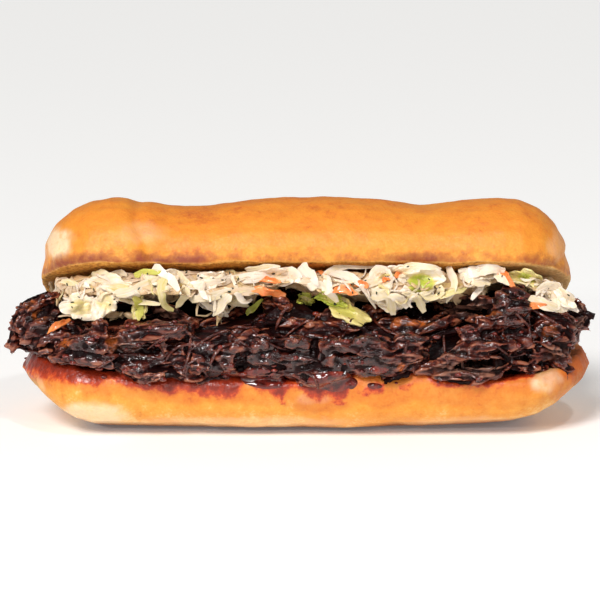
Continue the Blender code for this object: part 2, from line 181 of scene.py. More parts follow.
def startMaterial(name, patterns=None, measures=()):
    # a new material, and the noise patterns and values on the mesh that its look is mixed from;
    # a pattern: size, detail, roughness, change along the roll against across it, warp
    material = bpy.data.materials.new(name)
    material.use_nodes = True
    tree = material.node_tree
    tree.nodes.clear()
    place = addNode(tree, "TexCoord", give="Object")
    noises = []
    for size, detail, roughness, lengthwise, warp in (patterns or {}).values():
        drawnOut = addNode(tree, "Mapping", None, {"Vector": place, "Scale": (lengthwise, 1, 1)})
        noises.append(addNode(tree, "TexNoise", None, {
            "Vector": drawnOut,
            "Scale": 1 / size,
            "Detail": detail,
            "Roughness": roughness,
            "Distortion": warp,
        }))
    values = [addNode(tree, "Attribute", {"attribute_name": measure}, give="Fac") for measure in measures]
    return material, tree, noises, values


def finishMaterial(material, tree, surface):
    shader = addNode(tree, "BsdfPrincipled", None, surface)
    addNode(tree, "OutputMaterial", None, {"Surface": shader})
    return material


cameraSetup = {
    "lens": 180,            # a long lens, so the ends are hardly foreshortened
    "distance": 1.0,
    "elevation": 11,
    "aim": (-0.0002, 0.0039, 0.0396),
    "middle": 43.67,        # the height in mm, in the front view, of the place it aims at
}

aim = Vector(cameraSetup["aim"])
tilt = math.radians(cameraSetup["elevation"])
viewBack = Vector((0, -math.cos(tilt), math.sin(tilt)))
viewUp = Vector((0, math.sin(tilt), math.cos(tilt)))
eye = aim + viewBack * cameraSetup["distance"]
bpy.ops.object.camera_add(location=eye, rotation=(math.pi / 2 - tilt, 0, 0))
camera = bpy.context.object
camera.data.lens = cameraSetup["lens"]
camera.data.clip_start = 0.05
bpy.context.scene.camera = camera

studio = {
    "world": ("#ffffff", 0.27),
    # strength, width in degrees, place: an even light from high in front, like a big soft box
    "overhead": (2.35, 18, (-0.35, -0.86, 0.84)),
    # size, power, colour, place: a fill in front and two small ones for sparkle
    "lamps": (
        ("frontFill", 0.10, 1.3, "#ffffff", (0.50, -0.95, 0.40)),
        ("sparkle", 0.045, 2.0, "#ffffff", (-0.50, -0.80, 0.35)),
        ("topSparkle", 0.05, 1.5, "#ffffff", (0.25, -0.55, 0.85)),
    ),
    "floor": "#fbfaf8",
}

world = bpy.data.worlds.new("studioWorld")
world.use_nodes = True
skyColour, skyStrength = studio["world"]
world.node_tree.nodes["Background"].inputs["Color"].default_value = hexColour(skyColour)
world.node_tree.nodes["Background"].inputs["Strength"].default_value = skyStrength
bpy.context.scene.world = world
bpy.context.scene.view_settings.view_transform = "Standard"

strength, breadth, place = studio["overhead"]
bpy.ops.object.light_add(type="SUN", location=place)
lamp = bpy.context.object
lamp.name = "overhead"
lamp.data.energy = strength
lamp.data.angle = math.radians(breadth)
lamp.rotation_euler = Vector(place).to_track_quat("Z", "Y").to_euler()
for lampName, size, power, colour, place in studio["lamps"]:
    bpy.ops.object.light_add(type="AREA", location=place)
    lamp = bpy.context.object
    lamp.name = lampName
    lamp.data.size = size
    lamp.data.energy = power
    lamp.data.color = hexColour(colour)[:3]
    lamp.rotation_euler = (Vector(place) - Vector((0, 0, 0.03))).to_track_quat("Z", "Y").to_euler()

bpy.ops.mesh.primitive_plane_add(size=16, location=(0, 0, 0))
floor = bpy.context.object
floor.name = "floor"
# a plain pale sheet, so dull that it shows nothing but the food's soft shadow
paper, tree, _, _ = startMaterial("mattPaper")
floor.data.materials.append(finishMaterial(paper, tree, {
    "Base Color": studio["floor"],
    "Roughness": 0.9,
    "Emission Color": studio["floor"],
    "Emission Strength": 0.10,
}))
print("stage: camera, lamps and floor ready")


def frontRay(x, height):
    # a ray from the camera through a place of the front view in mm: x along the roll, height up the
    # view from the roll's front foot
    target = aim + Vector((1, 0, 0)) * (x * mm - aim.x) + viewUp * (height - cameraSetup["middle"]) * mm
    return eye, (target - eye).normalized()


def inFrontView(points):
    # the reverse: where points lie in the front view, in mm
    away = points - np.array(eye)
    depth = -(away @ np.array(viewBack)) / cameraSetup["distance"]
    height = cameraSetup["middle"] + (away @ np.array(viewUp)) / depth / mm
    return (aim.x + away[:, 0] / depth) / mm, height


def spots(x, h, places):
    # soft oval patches in the front view: middle, half width, half height, strength
    total = np.zeros(len(x))
    for middleX, middleH, halfWidth, halfHeight, strength in places:
        far = np.hypot((x - middleX) / halfWidth, (h - middleH) / halfHeight)
        total = np.maximum(total, strength * smoothStep(1.25, 0.55, far))
    return total


def alongRoll(x, profile):
    # a value given at a few places along the roll
    return np.interp(x, [at for at, _ in profile], [value for _, value in profile])


rollValues = {
    "voxel": 0.93 * mm,
    "softening": 6,
    # soft unevenness of the crust: size of the swells and their height
    "swells": ((16 * mm, 0.45 * mm), (6 * mm, 0.24 * mm), (2.4 * mm, 0.10 * mm)),
    "cutSlope": 25.2,       # degrees, the crown's cut face
    "hinge": (26.9 * mm, 34.6 * mm),
    "baseCut": 19.5 * mm,
    "sauceFilm": 0.30 * mm,
    # how far the crown's crumb has soaked up the dressing, along the roll in mm; where it has, its colour is
    # also lightened as painted light, since that cut face looks down into shade
    "soaked": ((-95, 0.9), (-50, 1.0), (60, 0.9), (78, 0.1)),
    # how far the soft bread swells up behind the base's rim, mm, along the roll
    "rimSwell": ((-99, 5.2), (-92, 5.8), (-80, 5.0), (-66, 3.6), (-48, 3.0), (-36, 2.6), (-24, 2.2),
                 (-14, 0.8), (10, 0.6), (19, 3.2), (40, 3.2), (48, 1.2), (68, 1.0), (80, 2.5), (88, 5.0),
                 (93, 6.0), (99, 6.0)),
    # how dark the band along the crown's lip is, along the roll in mm
    "toast": ((-92, 0.8), (-84, 1.0), (-62, 0.95), (-57, 0.45), (-51, 0.9), (-34, 1.0), (-28, 0.4),
              (-8, 0.3), (8, 0.35), (20, 0.4), (34, 0.75), (44, 0.9), (52, 0.4), (70, 0.35), (76, 0.75),
              (84, 0.6), (96, 0.5)),
    # how far down the base the sauce has run: x and the height of its edge, mm in the front view
    "sauceEdge": ((-97, 20), (-92, 20), (-87, 18), (-80, 16.6), (-73, 15.2), (-68, 15), (-65, 17.2),
                  (-61, 15.2), (-49, 13.2), (-43, 12.2), (-39, 13.6), (-33, 11.6), (-28, 10.8),
                  (-21, 11.4), (-19.5, 15.0), (-17.6, 18.5), (-15.5, 13.6), (-9.5, 12.6), (-6.3, 10),
                  (-4.3, 13.4), (-1, 14.6), (2, 12.0), (6, 9.4), (9, 12.4), (12.5, 9.4), (15.5, 11.6),
                  (18, 18.5), (24, 20), (40, 19.8), (44, 15.4), (56, 15), (68, 16), (73, 20), (80, 21),
                  (87, 22), (92, 20), (97, 19)),
    # patches in the front view: middle, half width and half height in mm, strength
    "stains": ((25, 14.2, 4.2, 2.2, 0.75), (21.5, 12.2, 2.0, 1.0, 0.6), (34.5, 14.6, 4.2, 1.2, 0.6),
               (50, 15.3, 7, 1.4, 0.62), (61, 15.8, 6, 1.3, 0.6), (12, 9.0, 4, 0.9, 0.55),
               (-6, 9.6, 1.4, 1.4, 0.6)),
    "blush": ((93, 24, 8, 11, 1.0), (85, 19, 6, 5, 0.45), (88, 13, 6, 5, 0.5), (62, 11, 20, 4.0, 0.4),
              (60, 14, 22, 3.0, 0.55), (30, 12, 12, 3.5, 0.5), (6, 9, 12, 3.0, 0.6),
              (-25, 11, 10, 2.2, 0.5), (-50, 14, 12, 2.0, 0.5), (75, 19, 5, 2.0, 0.7)),
    "pale": ((-81, 62.5, 5.0, 5.5, 1.0), (-70, 4.5, 12, 5.0, 1.0), (-88, 15, 3, 5, 0.4),
             (82, 17, 5.4, 4.2, 0.75), (-20, 2.6, 40, 2.2, 0.35), (60, 2.6, 26, 2.0, 0.3),
             (-54, 66, 9, 4, 0.2), (4, 11, 6, 2, 0.4), (85, 62, 3, 5, 0.25)),
}


def shapeRoll(values):
    # the bread with its uneven crust, and what is known of its points: how much each belongs to the
    # cut crumb and to the crown, and how far it lies past the crown's cut
    roll = copyOfNode("roll", "rollBread")
    applyModifier(roll, "REMESH", mode="VOXEL", voxel_size=values["voxel"], adaptivity=0)
    applyModifier(roll, "SMOOTH", factor=0.5, iterations=values["softening"])
    points, normals = pointsOf(roll), normalsOf(roll)
    x, y, z = points.T
    hingeY, hingeZ = values["hinge"]
    baseCut = values["baseCut"]
    slope = math.radians(values["cutSlope"])
    upperCut = np.array((0, -math.sin(slope), -math.cos(slope)))
    pastCut = (y - hingeY) * upperCut[1] + (z - hingeZ) * upperCut[2]
    onUpper = smoothStep(0.55, 0.9, normals @ upperCut) * smoothStep(2.2 * mm, 0.8 * mm, abs(pastCut))
    onLower = smoothStep(0.6, 0.92, normals[:, 2]) * smoothStep(2.5 * mm, 0.9 * mm, abs(z - baseCut))
    inMouth = (y > -20 * mm) & (y < 27 * mm) & (z > 15 * mm) & (z < 50 * mm) & (normals[:, 1] < -0.2)
    crumb = np.clip(onUpper + onLower + inMouth * 1.0, 0, 1)

    change = np.zeros(len(points))
    for number, (size, height) in enumerate(values["swells"]):
        change += height * noiseField(points, size, 3.3 * number)
    front = smoothStep(12 * mm, -4 * mm, y)
    crown = smoothStep(44 * mm, 50 * mm, z + 0.35 * (y - 4 * mm))
    # a crease that runs from the top down to the lip near the left end, and the swell beside it
    path = -52 * mm + (70 * mm - z) * 0.30 + 1.2 * mm * np.sin(z / (4 * mm))
    change -= 1.0 * mm * np.exp(-((x - path) / (2.2 * mm)) ** 2) * front * crown
    change += 0.8 * mm * np.exp(-((x - path + 6 * mm) / (5 * mm)) ** 2) * front * crown
    # puckers above the lip, left of the middle
    pucker = np.exp(-((x + 46 * mm) / (16 * mm)) ** 2) * smoothStep(62 * mm, 54 * mm, z) * front * crown
    change += 0.7 * mm * noiseField(points * np.array((1, 0.3, 0.3)), 3.4 * mm, 9.0) * pucker
    # a small fold at the right end of the crown
    fold = np.exp(-((z - 55.5 * mm - (x - 82 * mm) * 0.15) / (1.0 * mm)) ** 2)
    fold *= smoothStep(76 * mm, 80 * mm, x)
    change -= 0.7 * mm * fold * smoothStep(95 * mm, 90 * mm, x) * front
    # fuller shoulders at both ends of the crown
    shoulder = smoothStep(66 * mm, 84 * mm, abs(x - 1.8 * mm)) * smoothStep(54 * mm, 60 * mm, z)
    change += 1.7 * mm * shoulder * smoothStep(0.2, 0.6, np.hypot(normals[:, 0], normals[:, 2]))
    flat = smoothStep(0.5 * mm, 3.0 * mm, z)
    points += normals * (change * flat * (1 - 0.7 * crumb))[:, None]
    points[:, 2] = np.maximum(points[:, 2], 0)

    # the base swells up behind its rim, more so at the ends, and the crust wraps over that rim
    rim = points[(abs(z - baseCut) < 1.6 * mm) & (normals[:, 2] < 0.35) & (normals[:, 2] > -0.6)]
    rimTree = KDTree(len(rim))
    for number, point in enumerate(rim):
        rimTree.insert(Vector((point[0], point[1], 0)), number)
    rimTree.balance()
    inward = np.array([rimTree.find(Vector((p[0], p[1], 0)))[2] for p in points])
    rise = np.where(x > 0, smoothStep(-1.5 * mm, 3.0 * mm, inward), smoothStep(-0.5 * mm, 3.6 * mm, inward))
    onBase = smoothStep(baseCut - 3.0 * mm, baseCut - 0.4 * mm, z) * (z < 24 * mm)
    swell = alongRoll(x / mm, values["rimSwell"]) * mm * rise * onBase
    swell *= smoothStep(20 * mm, 10 * mm, inward) * smoothStep(20 * mm, 2 * mm, y)
    points[:, 2] += swell * (1 + 0.18 * noiseField(points, 4 * mm, 41.0))
    crumb = np.where(onLower > 0, crumb * smoothStep(1.0 * mm, 4.0 * mm, inward), crumb)
    # the crown's lip rises and falls a little
    lip = crown * front * smoothStep(6 * mm, 1 * mm, abs(pastCut))
    waves = noiseField(np.stack([x, 0 * x, 0 * x], axis=1), 9 * mm, 4.0)
    points[:, 2] += lip * (0.8 * mm * waves - 1.1 * mm)
    return roll, points, normals, crumb, crown, pastCut


def markRoll(values, roll, points, normals, crumb, crown, pastCut):
    # what the material reads on the bread: where sauce, stains, pale places and the dark band along the
    # crown's lip lie
    x, y, z = points.T
    across, high = inFrontView(points)
    wander = 1.2 * noiseField(points, 3.2 * mm, 11.0)
    waver = 1.0 * noiseField(points, 3.0 * mm, 17.0)
    inFront = smoothStep(6 * mm, -4 * mm, y)
    below = smoothStep(34 * mm, 30 * mm, z)
    # sauce: below the filling in front, and wherever the cut faces touch it
    edge = alongRoll(across, values["sauceEdge"])
    run = np.clip(0.5 + (high + 0.8 * wander + 0.5 * waver - edge) / 6.0, 0, 1) * inFront * below
    stained = spots(across + wander, high + waver * 0.6, values["stains"]) * inFront * below
    near = np.array([brisketTree.find_nearest(Vector(p))[3] for p in points])
    touching = smoothStep(9 * mm, 1.5 * mm, near + 1.2 * mm * noiseField(points, 5 * mm, 23.0)) * 0.9
    touching = np.minimum(touching, 0.35 + crumb) * smoothStep(40 * mm, 34 * mm, z)
    sauce = np.maximum(np.maximum(run, stained), touching)
    # at the right end the bread is only stained by it
    sauce *= 1 - 0.8 * smoothStep(72 * mm, 79 * mm, x) * smoothStep(33 * mm, 29 * mm, z)
    blush = spots(across + wander, high + waver, values["blush"]) * inFront * below
    band = smoothStep(4.6 * mm, 0.8 * mm, -pastCut + wander * 0.9 * mm) * (pastCut < 1.2 * mm)
    toast = band * alongRoll(x / mm, values["toast"]) * crown * (1 - crumb) * smoothStep(22 * mm, 14 * mm, y)
    giveAttribute(roll, "sauce", sauce)
    giveAttribute(roll, "blush", np.maximum(blush, np.clip(sauce * 1.6 - 0.1, 0, 1)))
    giveAttribute(roll, "pale", spots(across + 2 * wander, high + waver, values["pale"]) * inFront)
    giveAttribute(roll, "toast", np.clip(toast, 0, 1))
    giveAttribute(roll, "upward", np.clip(normals[:, 2] * 0.5 + 0.5, 0, 1))
    soaked = crumb * smoothStep(38 * mm, 42 * mm, z) * alongRoll(x / mm, values["soaked"])
    giveAttribute(roll, "soaked", soaked)
    giveAttribute(roll, "crumb", crumb)
    # the sauce has a thickness of its own
    film = values["sauceFilm"] * smoothStep(0.45, 0.7, sauce) * (0.9 + noiseField(points, 1.9 * mm, 29.0))
    points += normals * film[:, None]
    putPoints(roll, insideBox(points))
    smoothShade(roll)


def insideBox(points, margin=0.12 * mm):
    low, high = np.array(cadBox[0]) + margin, np.array(cadBox[1]) - margin
    low[2] = 0
    return np.clip(points, low, high)


def treeOfNode(nodeName):
    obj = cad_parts[nodeName]
    return BVHTree.FromPolygons(pointsOf(obj).tolist(), facesOf(obj))


rollTree, brisketTree, slawTree = treeOfNode("roll"), treeOfNode("brisket"), treeOfNode("coleslaw")
roll, *known = shapeRoll(rollValues)
markRoll(rollValues, roll, *known)


crustLook = {
    # noise patterns: size, detail, roughness, change along the roll against across it, warp
    "patterns": {
        "broad": (22 * mm, 2, 0.55, 1, 0),
        "middle": (5 * mm, 4, 0.65, 1, 0),
        "small": (1.9 * mm, 3, 0.6, 1, 0),
        "fine": (0.8 * mm, 3, 0.6, 1, 0),
        "pores": (1.3 * mm, 4, 0.65, 1, 0),
        "pulp": (1.5 * mm, 2, 0.6, 1, 0),
    },
    "crust": ((0.0, "#f2cd8a"), (0.22, "#e6a040"), (0.45, "#e4902c"), (0.68, "#de8225"),
              (0.85, "#cb6922"), (1.0, "#a54f1e")),
    "pale": "#f6dcb4",
    "sole": "#8a4a1e",
    "darkLipBand": "#83361f",
    "crumb": ((0.25, "#a8763f"), (0.5, "#d4a86b"), (0.8, "#e6c998")),
    # the crown's soaked crumb, lightened as painted light on its downward face
    "soaked": ((0.3, "#7a3e10"), (0.5, "#c98328"), (0.72, "#efb653")),
    "blush": "#ba4f1f",
    # thin and orange at its edge, dark red brown where it lies thick
    "sauce": ((0.36, "#e67a2c"), (0.50, "#d05720"), (0.66, "#b23a17"), (1.0, "#80240f")),
}


def breadMaterial(look):
    # soft wheat roll, baked golden: the crust is satin and mottled, the cut crumb matt and open,
    # and barbecue sauce lies on the lip as a dark wet film
    material, tree, patterns, measures = startMaterial("bakedWheatCrust", look["patterns"], (
        "upward", "pale", "toast", "crumb", "soaked", "blush", "sauce"))
    broad, middle, small, fine, pores, pulp = patterns
    upward, pale, toast, crumb, soaked, blush, sauce = measures

    # browner where the heat came from above, golden lower down
    tone = sumOf(tree, -0.695, (upward, 0.50), (broad, 0.55), (middle, 0.50), (small, 0.34), (fine, 0.30),
                 limited=True)
    colour = addNode(tree, "ValToRGB", {"stops": look["crust"]}, (tone,))
    patchy = sumOf(tree, -0.7, (small, 1.4), (middle, 2.0))
    floury = addNode(tree, "Math", {"operation": "MULTIPLY", "use_clamp": True}, (pale, patchy))
    sole = addNode(tree, "ValToRGB", {"stops": ((0.01, 1.0), (0.07, 0.0))}, (upward,))
    darkLipBand = sumOf(tree, -0.75, (toast, 1), (small, 0.8), (middle, 0.7), limited=True)
    darkLipBand = addNode(tree, "ValToRGB", {"stops": ((0.15, 0.0), (0.5, 0.5), (1.0, 0.95))}, (darkLipBand,))
    dryCrumb = addNode(tree, "ValToRGB", {"stops": look["crumb"]}, (pores,))
    # painted light: the crown's soaked crumb faces down into shade, and its colours are lightened so that it
    # reads as lit
    soakedLitCrumb = addNode(tree, "ValToRGB", {"stops": look["soaked"]}, (pores,))
    crumbColour = addNode(tree, "Mix", {"data_type": "RGBA"}, (soaked, dryCrumb, soakedLitCrumb))
    blushing = sumOf(tree, -0.4, (blush, 1), (middle, 0.8), limited=True)
    field = sumOf(tree, -0.28, (sauce, 1), (small, 0.34), (middle, 0.22), limited=True)
    film = addNode(tree, "ValToRGB", {"stops": ((0.36, 0.0), (0.60, 1.0))}, (field,))
    depth = sumOf(tree, -0.45, (field, 1), (small, 0.9))
    filmColour = addNode(tree, "ValToRGB", {"stops": look["sauce"]}, (depth,))
    for amount, layer in (
        (sumOf(tree, 0, (floury, 0.8)), look["pale"]),
        (sole, look["sole"]),
        (darkLipBand, look["darkLipBand"]),
        (crumb, crumbColour),
        (sumOf(tree, 0, (blushing, 0.78)), look["blush"]),
        (film, filmColour),
    ):
        colour = addNode(tree, "Mix", {"data_type": "RGBA"}, (amount, colour, layer))

    satin = addNode(tree, "ValToRGB", {"stops": ((0.3, 0.42), (0.7, 0.60))}, (fine,))
    dry = addNode(tree, "Mix", {"data_type": "FLOAT"}, (crumb, satin, 0.85))
    roughness = addNode(tree, "Mix", {"data_type": "FLOAT"}, (film, dry, 0.33))
    dryHeight = sumOf(tree, 0, (fine, 0.5), (small, 0.5))
    height = addNode(tree, "Mix", {"data_type": "FLOAT"}, (film, dryHeight, sumOf(tree, 0.35, (pulp, 1.6))))
    bump = addNode(tree, "Bump", None, {"Strength": 0.55, "Distance": 0.5 * mm, "Height": height})
    return finishMaterial(material, tree, {
        "Base Color": colour,
        "Roughness": roughness,
        "Normal": bump,
        "IOR": 1.45,
        "Subsurface Weight": 0.10,
        "Subsurface Radius": (3 * mm, 1.6 * mm, 0.8 * mm),
        "Subsurface Scale": 1.0,
        "Coat Weight": sumOf(tree, 0, (film, 0.28)),
        "Coat Roughness": 0.08,
    })


roll.data.materials.append(breadMaterial(crustLook))
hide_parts("roll")
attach(roll, "root")
print("stage: roll ready", len(roll.data.polygons), "faces")


def smoothPath(points, steps):
    # a curve through a few points, in even steps for each stretch
    points = [np.array(p, float) for p in points]
    ends = [2 * points[0] - points[1], *points, 2 * points[-1] - points[-2]]
    path = []
    for a, b, c, d in zip(ends, ends[1:], ends[2:], ends[3:]):
        for i in range(steps):
            t = i / steps
            path.append(0.5 * (2 * b + (c - a) * t + (2 * a - 5 * b + 4 * c - d) * t**2
                               + (3 * b - a - 3 * c + d) * t**3))
    return np.array([*path, points[-1]])


def evenPath(path, count):
    # the same curve, its points evenly spaced
    lengths = np.concatenate(([0], np.cumsum(np.linalg.norm(np.diff(path, axis=0), axis=1))))
    at = np.linspace(0, lengths[-1], count)
    return np.stack([np.interp(at, lengths, path[:, i]) for i in range(3)], axis=1)


def unit(vectors):
    return vectors / np.maximum(np.linalg.norm(vectors, axis=-1, keepdims=True), 1e-12)


def bendAlong(template, path, outward, width, thickness, roll=0.0, twist=0.0):
    # copies a template (x 0 to 1 along, y and z -0.5 to 0.5 across) onto a path
    ahead = unit(np.gradient(path, axis=0))
    facing = unit(outward - ahead * np.sum(outward * ahead, axis=1, keepdims=True))
    side = np.cross(facing, ahead)
    at = np.clip(template[:, 0], 0, 1) * (len(path) - 1)
    low = np.minimum(at.astype(int), len(path) - 2)
    part = (at - low)[:, None]
    centre = path[low] * (1 - part) + path[low + 1] * part
    facing = facing[low] * (1 - part) + facing[low + 1] * part
    side = side[low] * (1 - part) + side[low + 1] * part
    angle = roll + twist * (template[:, 0] - 0.5)
    across = template[:, 1] * width
    through = template[:, 2] * thickness
    y = across * np.cos(angle) - through * np.sin(angle)
    z = across * np.sin(angle) + through * np.cos(angle)
    beyond = (template[:, 0] - np.clip(template[:, 0], 0, 1))[:, None]
    length = np.linalg.norm(path[-1] - path[0])
    return centre + side * y[:, None] + facing * z[:, None] + ahead[low] * beyond * length


def startPile(*objects):
    pile = {"points": [], "faces": [], "count": 0}
    for obj in objects:
        addToPile(pile, pointsOf(obj), facesOf(obj))
    settle(pile)
    return pile


def addToPile(pile, points, faces):
    shift = pile["count"]
    pile["points"].append(points)
    pile["faces"].extend(tuple(index + shift for index in face) for face in faces)
    pile["count"] += len(points)


def settle(pile):
    pile["tree"] = BVHTree.FromPolygons(np.concatenate(pile["points"]).tolist(), pile["faces"])


def layFromFront(pile, places, lift, bound, steps=8):
    # a path drawn in the front view comes to rest on what lies there, and comes no nearer than the
    # bound: a tree and how far in front of it
    flat = smoothPath([(x, h, 0) for x, h in places], steps)
    depths, nearest, rays = [], [], []
    for x, h, _ in flat:
        start, way = frontRay(x, h)
        hit = pile["tree"].ray_cast(start, way)
        depths.append(hit[3] if hit[0] is not None and hit[0].y < 12 * mm else np.nan)
        hit = bound[0].ray_cast(start, way)
        nearest.append(hit[3] - bound[1] if hit[0] is not None else 0)
        rays.append(np.array(way))
    rest = restOn(np.array(depths), lift, np.array(nearest))
    if rest is None:
        return None, None
    # where it drops back, it does so by 0.8 mm at most for each mm along
    fall = 0.8 * mm * np.linalg.norm(np.diff(flat[:, :2], axis=0), axis=1)
    for i in range(1, len(rest)):
        rest[i] = min(rest[i], rest[i - 1] + fall[i - 1])
    for i in range(len(rest) - 2, -1, -1):
        rest[i] = min(rest[i], rest[i + 1] + fall[i])
    rays = np.array(rays)
    return np.array(eye) + rays * rest[:, None], -rays


def settleDepths(depths, passes=3):
    # evens out a strand, which bridges small hollows but keeps clear of what is under it
    smooth = depths.copy()
    for _ in range(passes):
        padded = np.pad(smooth, 1, mode="edge")
        smooth = (padded[:-2] + padded[1:-1] + padded[2:]) / 3
        smooth = np.minimum(smooth, depths + 0.35 * mm)
    return smooth


def restOn(depths, lift, nearest, share=0.0):
    # depths at which a strand rests, if enough of it has something under it
    known = ~np.isnan(depths)
    if not known.any() or known.sum() < len(depths) * share:
        return None
    index = np.arange(len(depths))
    depths = np.interp(index, index[known], depths[known])
    return np.maximum(settleDepths(depths - lift), nearest)


def headingOn(outward, angle):
    # a way over the surface: level at an angle of 0, up the slope at a right angle
    sideways = unit(np.cross(np.array((0, 0, 1.0)), outward))
    return sideways * math.cos(angle) + np.cross(outward, sideways) * math.sin(angle)


def layFromSide(pile, start, outward, heading, length, curl, lift, bound, count=11):
    # a path laid on the heap round a point of its surface, let down from some way above it
    above = 14 * mm
    across = unit(np.cross(outward, heading))
    t = np.linspace(-0.5, 0.5, count)
    flat = start + np.outer(t * length, heading) + np.outer(curl * (0.25 - t * t) * 4, across)
    depths, nearest = [], []
    for point in flat:
        origin = Vector(point + outward * above)
        hit = pile["tree"].ray_cast(origin, Vector(-outward))
        depths.append(hit[3] if hit[0] is not None and hit[3] < above + 6 * mm else np.nan)
        hit = bound[0].ray_cast(origin, Vector(-outward))
        nearest.append(hit[3] - bound[1] if hit[0] is not None else above)
    rest = restOn(np.array(depths), lift, np.array(nearest), 0.9)
    if rest is None:
        return None, None
    return flat + outward * (above - rest)[:, None], np.repeat(outward[None], count, axis=0)


def smoothOver(obj, values, passes):
    # evens out a value over a mesh
    edges = np.empty(len(obj.data.edges) * 2, dtype=np.int64)
    obj.data.edges.foreach_get("vertices", edges)
    first, second = edges[::2], edges[1::2]
    count = np.bincount(edges, minlength=len(values)) + 1
    for _ in range(passes):
        values = (values + np.bincount(first, values[second], len(values))
                  + np.bincount(second, values[first], len(values))) / count
    return values


def joinCopies(name, copies):
    # one object from many (points, faces)
    points, faces, shift = [], [], 0
    for part, partFaces in copies:
        points.append(part)
        faces.extend(tuple(index + shift for index in face) for face in partFaces)
        shift += len(part)
    mesh = bpy.data.meshes.new(name)
    mesh.from_pydata(np.concatenate(points).tolist(), [], faces)
    obj = bpy.data.objects.new(name, mesh)
    bpy.context.scene.collection.objects.link(obj)
    return obj


def bentCopies(name, copies, faces, attributes=None):
    # one object from many bent copies of one template, with a value for each copy
    obj = joinCopies(name, [(points, faces) for points in copies])
    for key, values in (attributes or {}).items():
        giveAttribute(obj, key, np.repeat(values, len(copies[0])))
    return obj


def slicedTube(sides, cuts):
    # a tube 1 long, cut across at some places along it so that it can bend
    bpy.ops.mesh.primitive_cylinder_add(vertices=sides, radius=0.5, depth=1, end_fill_type="NGON")
    tube = bpy.context.object
    bpy.ops.transform.rotate(value=math.pi / 2, orient_axis="Y", center_override=(0, 0, 0))
    bpy.ops.object.transform_apply(location=True, rotation=True, scale=True)
    bpy.ops.object.mode_set(mode="EDIT")
    for cut in cuts:
        bpy.ops.mesh.select_all(action="SELECT")
        bpy.ops.mesh.bisect(plane_co=(cut - 0.5, 0, 0), plane_no=(1, 0, 0))
    bpy.ops.object.mode_set(mode="OBJECT")
    points = pointsOf(tube)
    points[:, 0] += 0.5
    return tube, points


def spreadSheet(sheet, middle, size, turn, base, lobes):
    # a square grid drawn in to a lobed outline and set in the front view, in mm; a lobe: height, how
    # many go round, start; also gives the grid's places in the outline and how far out each lies
    flat = pointsOf(sheet)
    reach = np.maximum(np.abs(flat[:, 0]), np.abs(flat[:, 1]))
    angle = np.arctan2(flat[:, 1], flat[:, 0])
    outline = base + sum(height * np.cos(count * angle + start) for height, count, start in lobes)
    u, v = np.cos(angle) * reach * outline, np.sin(angle) * reach * outline
    across, upward = u * size[0] / 2, v * size[1] / 2
    spin = math.radians(turn)
    x = middle[0] + across * math.cos(spin) - upward * math.sin(spin)
    h = middle[1] + across * math.sin(spin) + upward * math.cos(spin)
    return x, h, u, v, reach


def finishSheet(sheet, thickness, offset, angle):
    applyModifier(sheet, "SOLIDIFY", thickness=thickness, offset=offset)
    faceOutward(sheet)
    smoothShade(sheet, angle)


def templateFrom(obj):
    points, faces = pointsOf(obj), facesOf(obj)
    bpy.data.objects.remove(obj)
    return points, faces


def exposedPlaces(nodeName, covers, amount, draw, margin=2.5 * mm, ends=False):
    # places on a node's surface that nothing covers, spread by area, or only those at its two ends
    endsFrom = 70 * mm
    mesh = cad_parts[nodeName].data
    polygons = [polygon for polygon in mesh.polygons if not ends or abs(polygon.center.x) > endsFrom]
    weights = [polygon.area for polygon in polygons]
    found = []
    for _ in range(60 * amount):
        if len(found) == amount:
            break
        polygon = draw.choices(polygons, weights)[0]
        corners = [mesh.vertices[i].co for i in polygon.vertices[:3]]
        a, b = sorted((draw.random(), draw.random()))
        point = corners[0] * a + corners[1] * (b - a) + corners[2] * (1 - b)
        outward = polygon.normal.copy()
        # not underneath, not at the back, and for the ends only what faces along the roll
        if outward.z < -0.75 or outward.y > (0.9 if ends else 0.5) or (ends and abs(outward.x) < 0.3):
            continue
        if ends:
            leaning = (outward + Vector((0, 0, 0.1))).normalized()
            rays = ((outward, margin),)
        else:
            leaning = (outward + Vector((0, -0.5, 0.15))).normalized()
            rays = ((outward, margin), (leaning, 9 * mm))
        start = point + outward * 0.2 * mm
        hits = (tree.ray_cast(start, way, reach)[0] for tree in covers for way, reach in rays)
        if all(hit is None for hit in hits):
            found.append((np.array(point), np.array(leaning)))
    return found


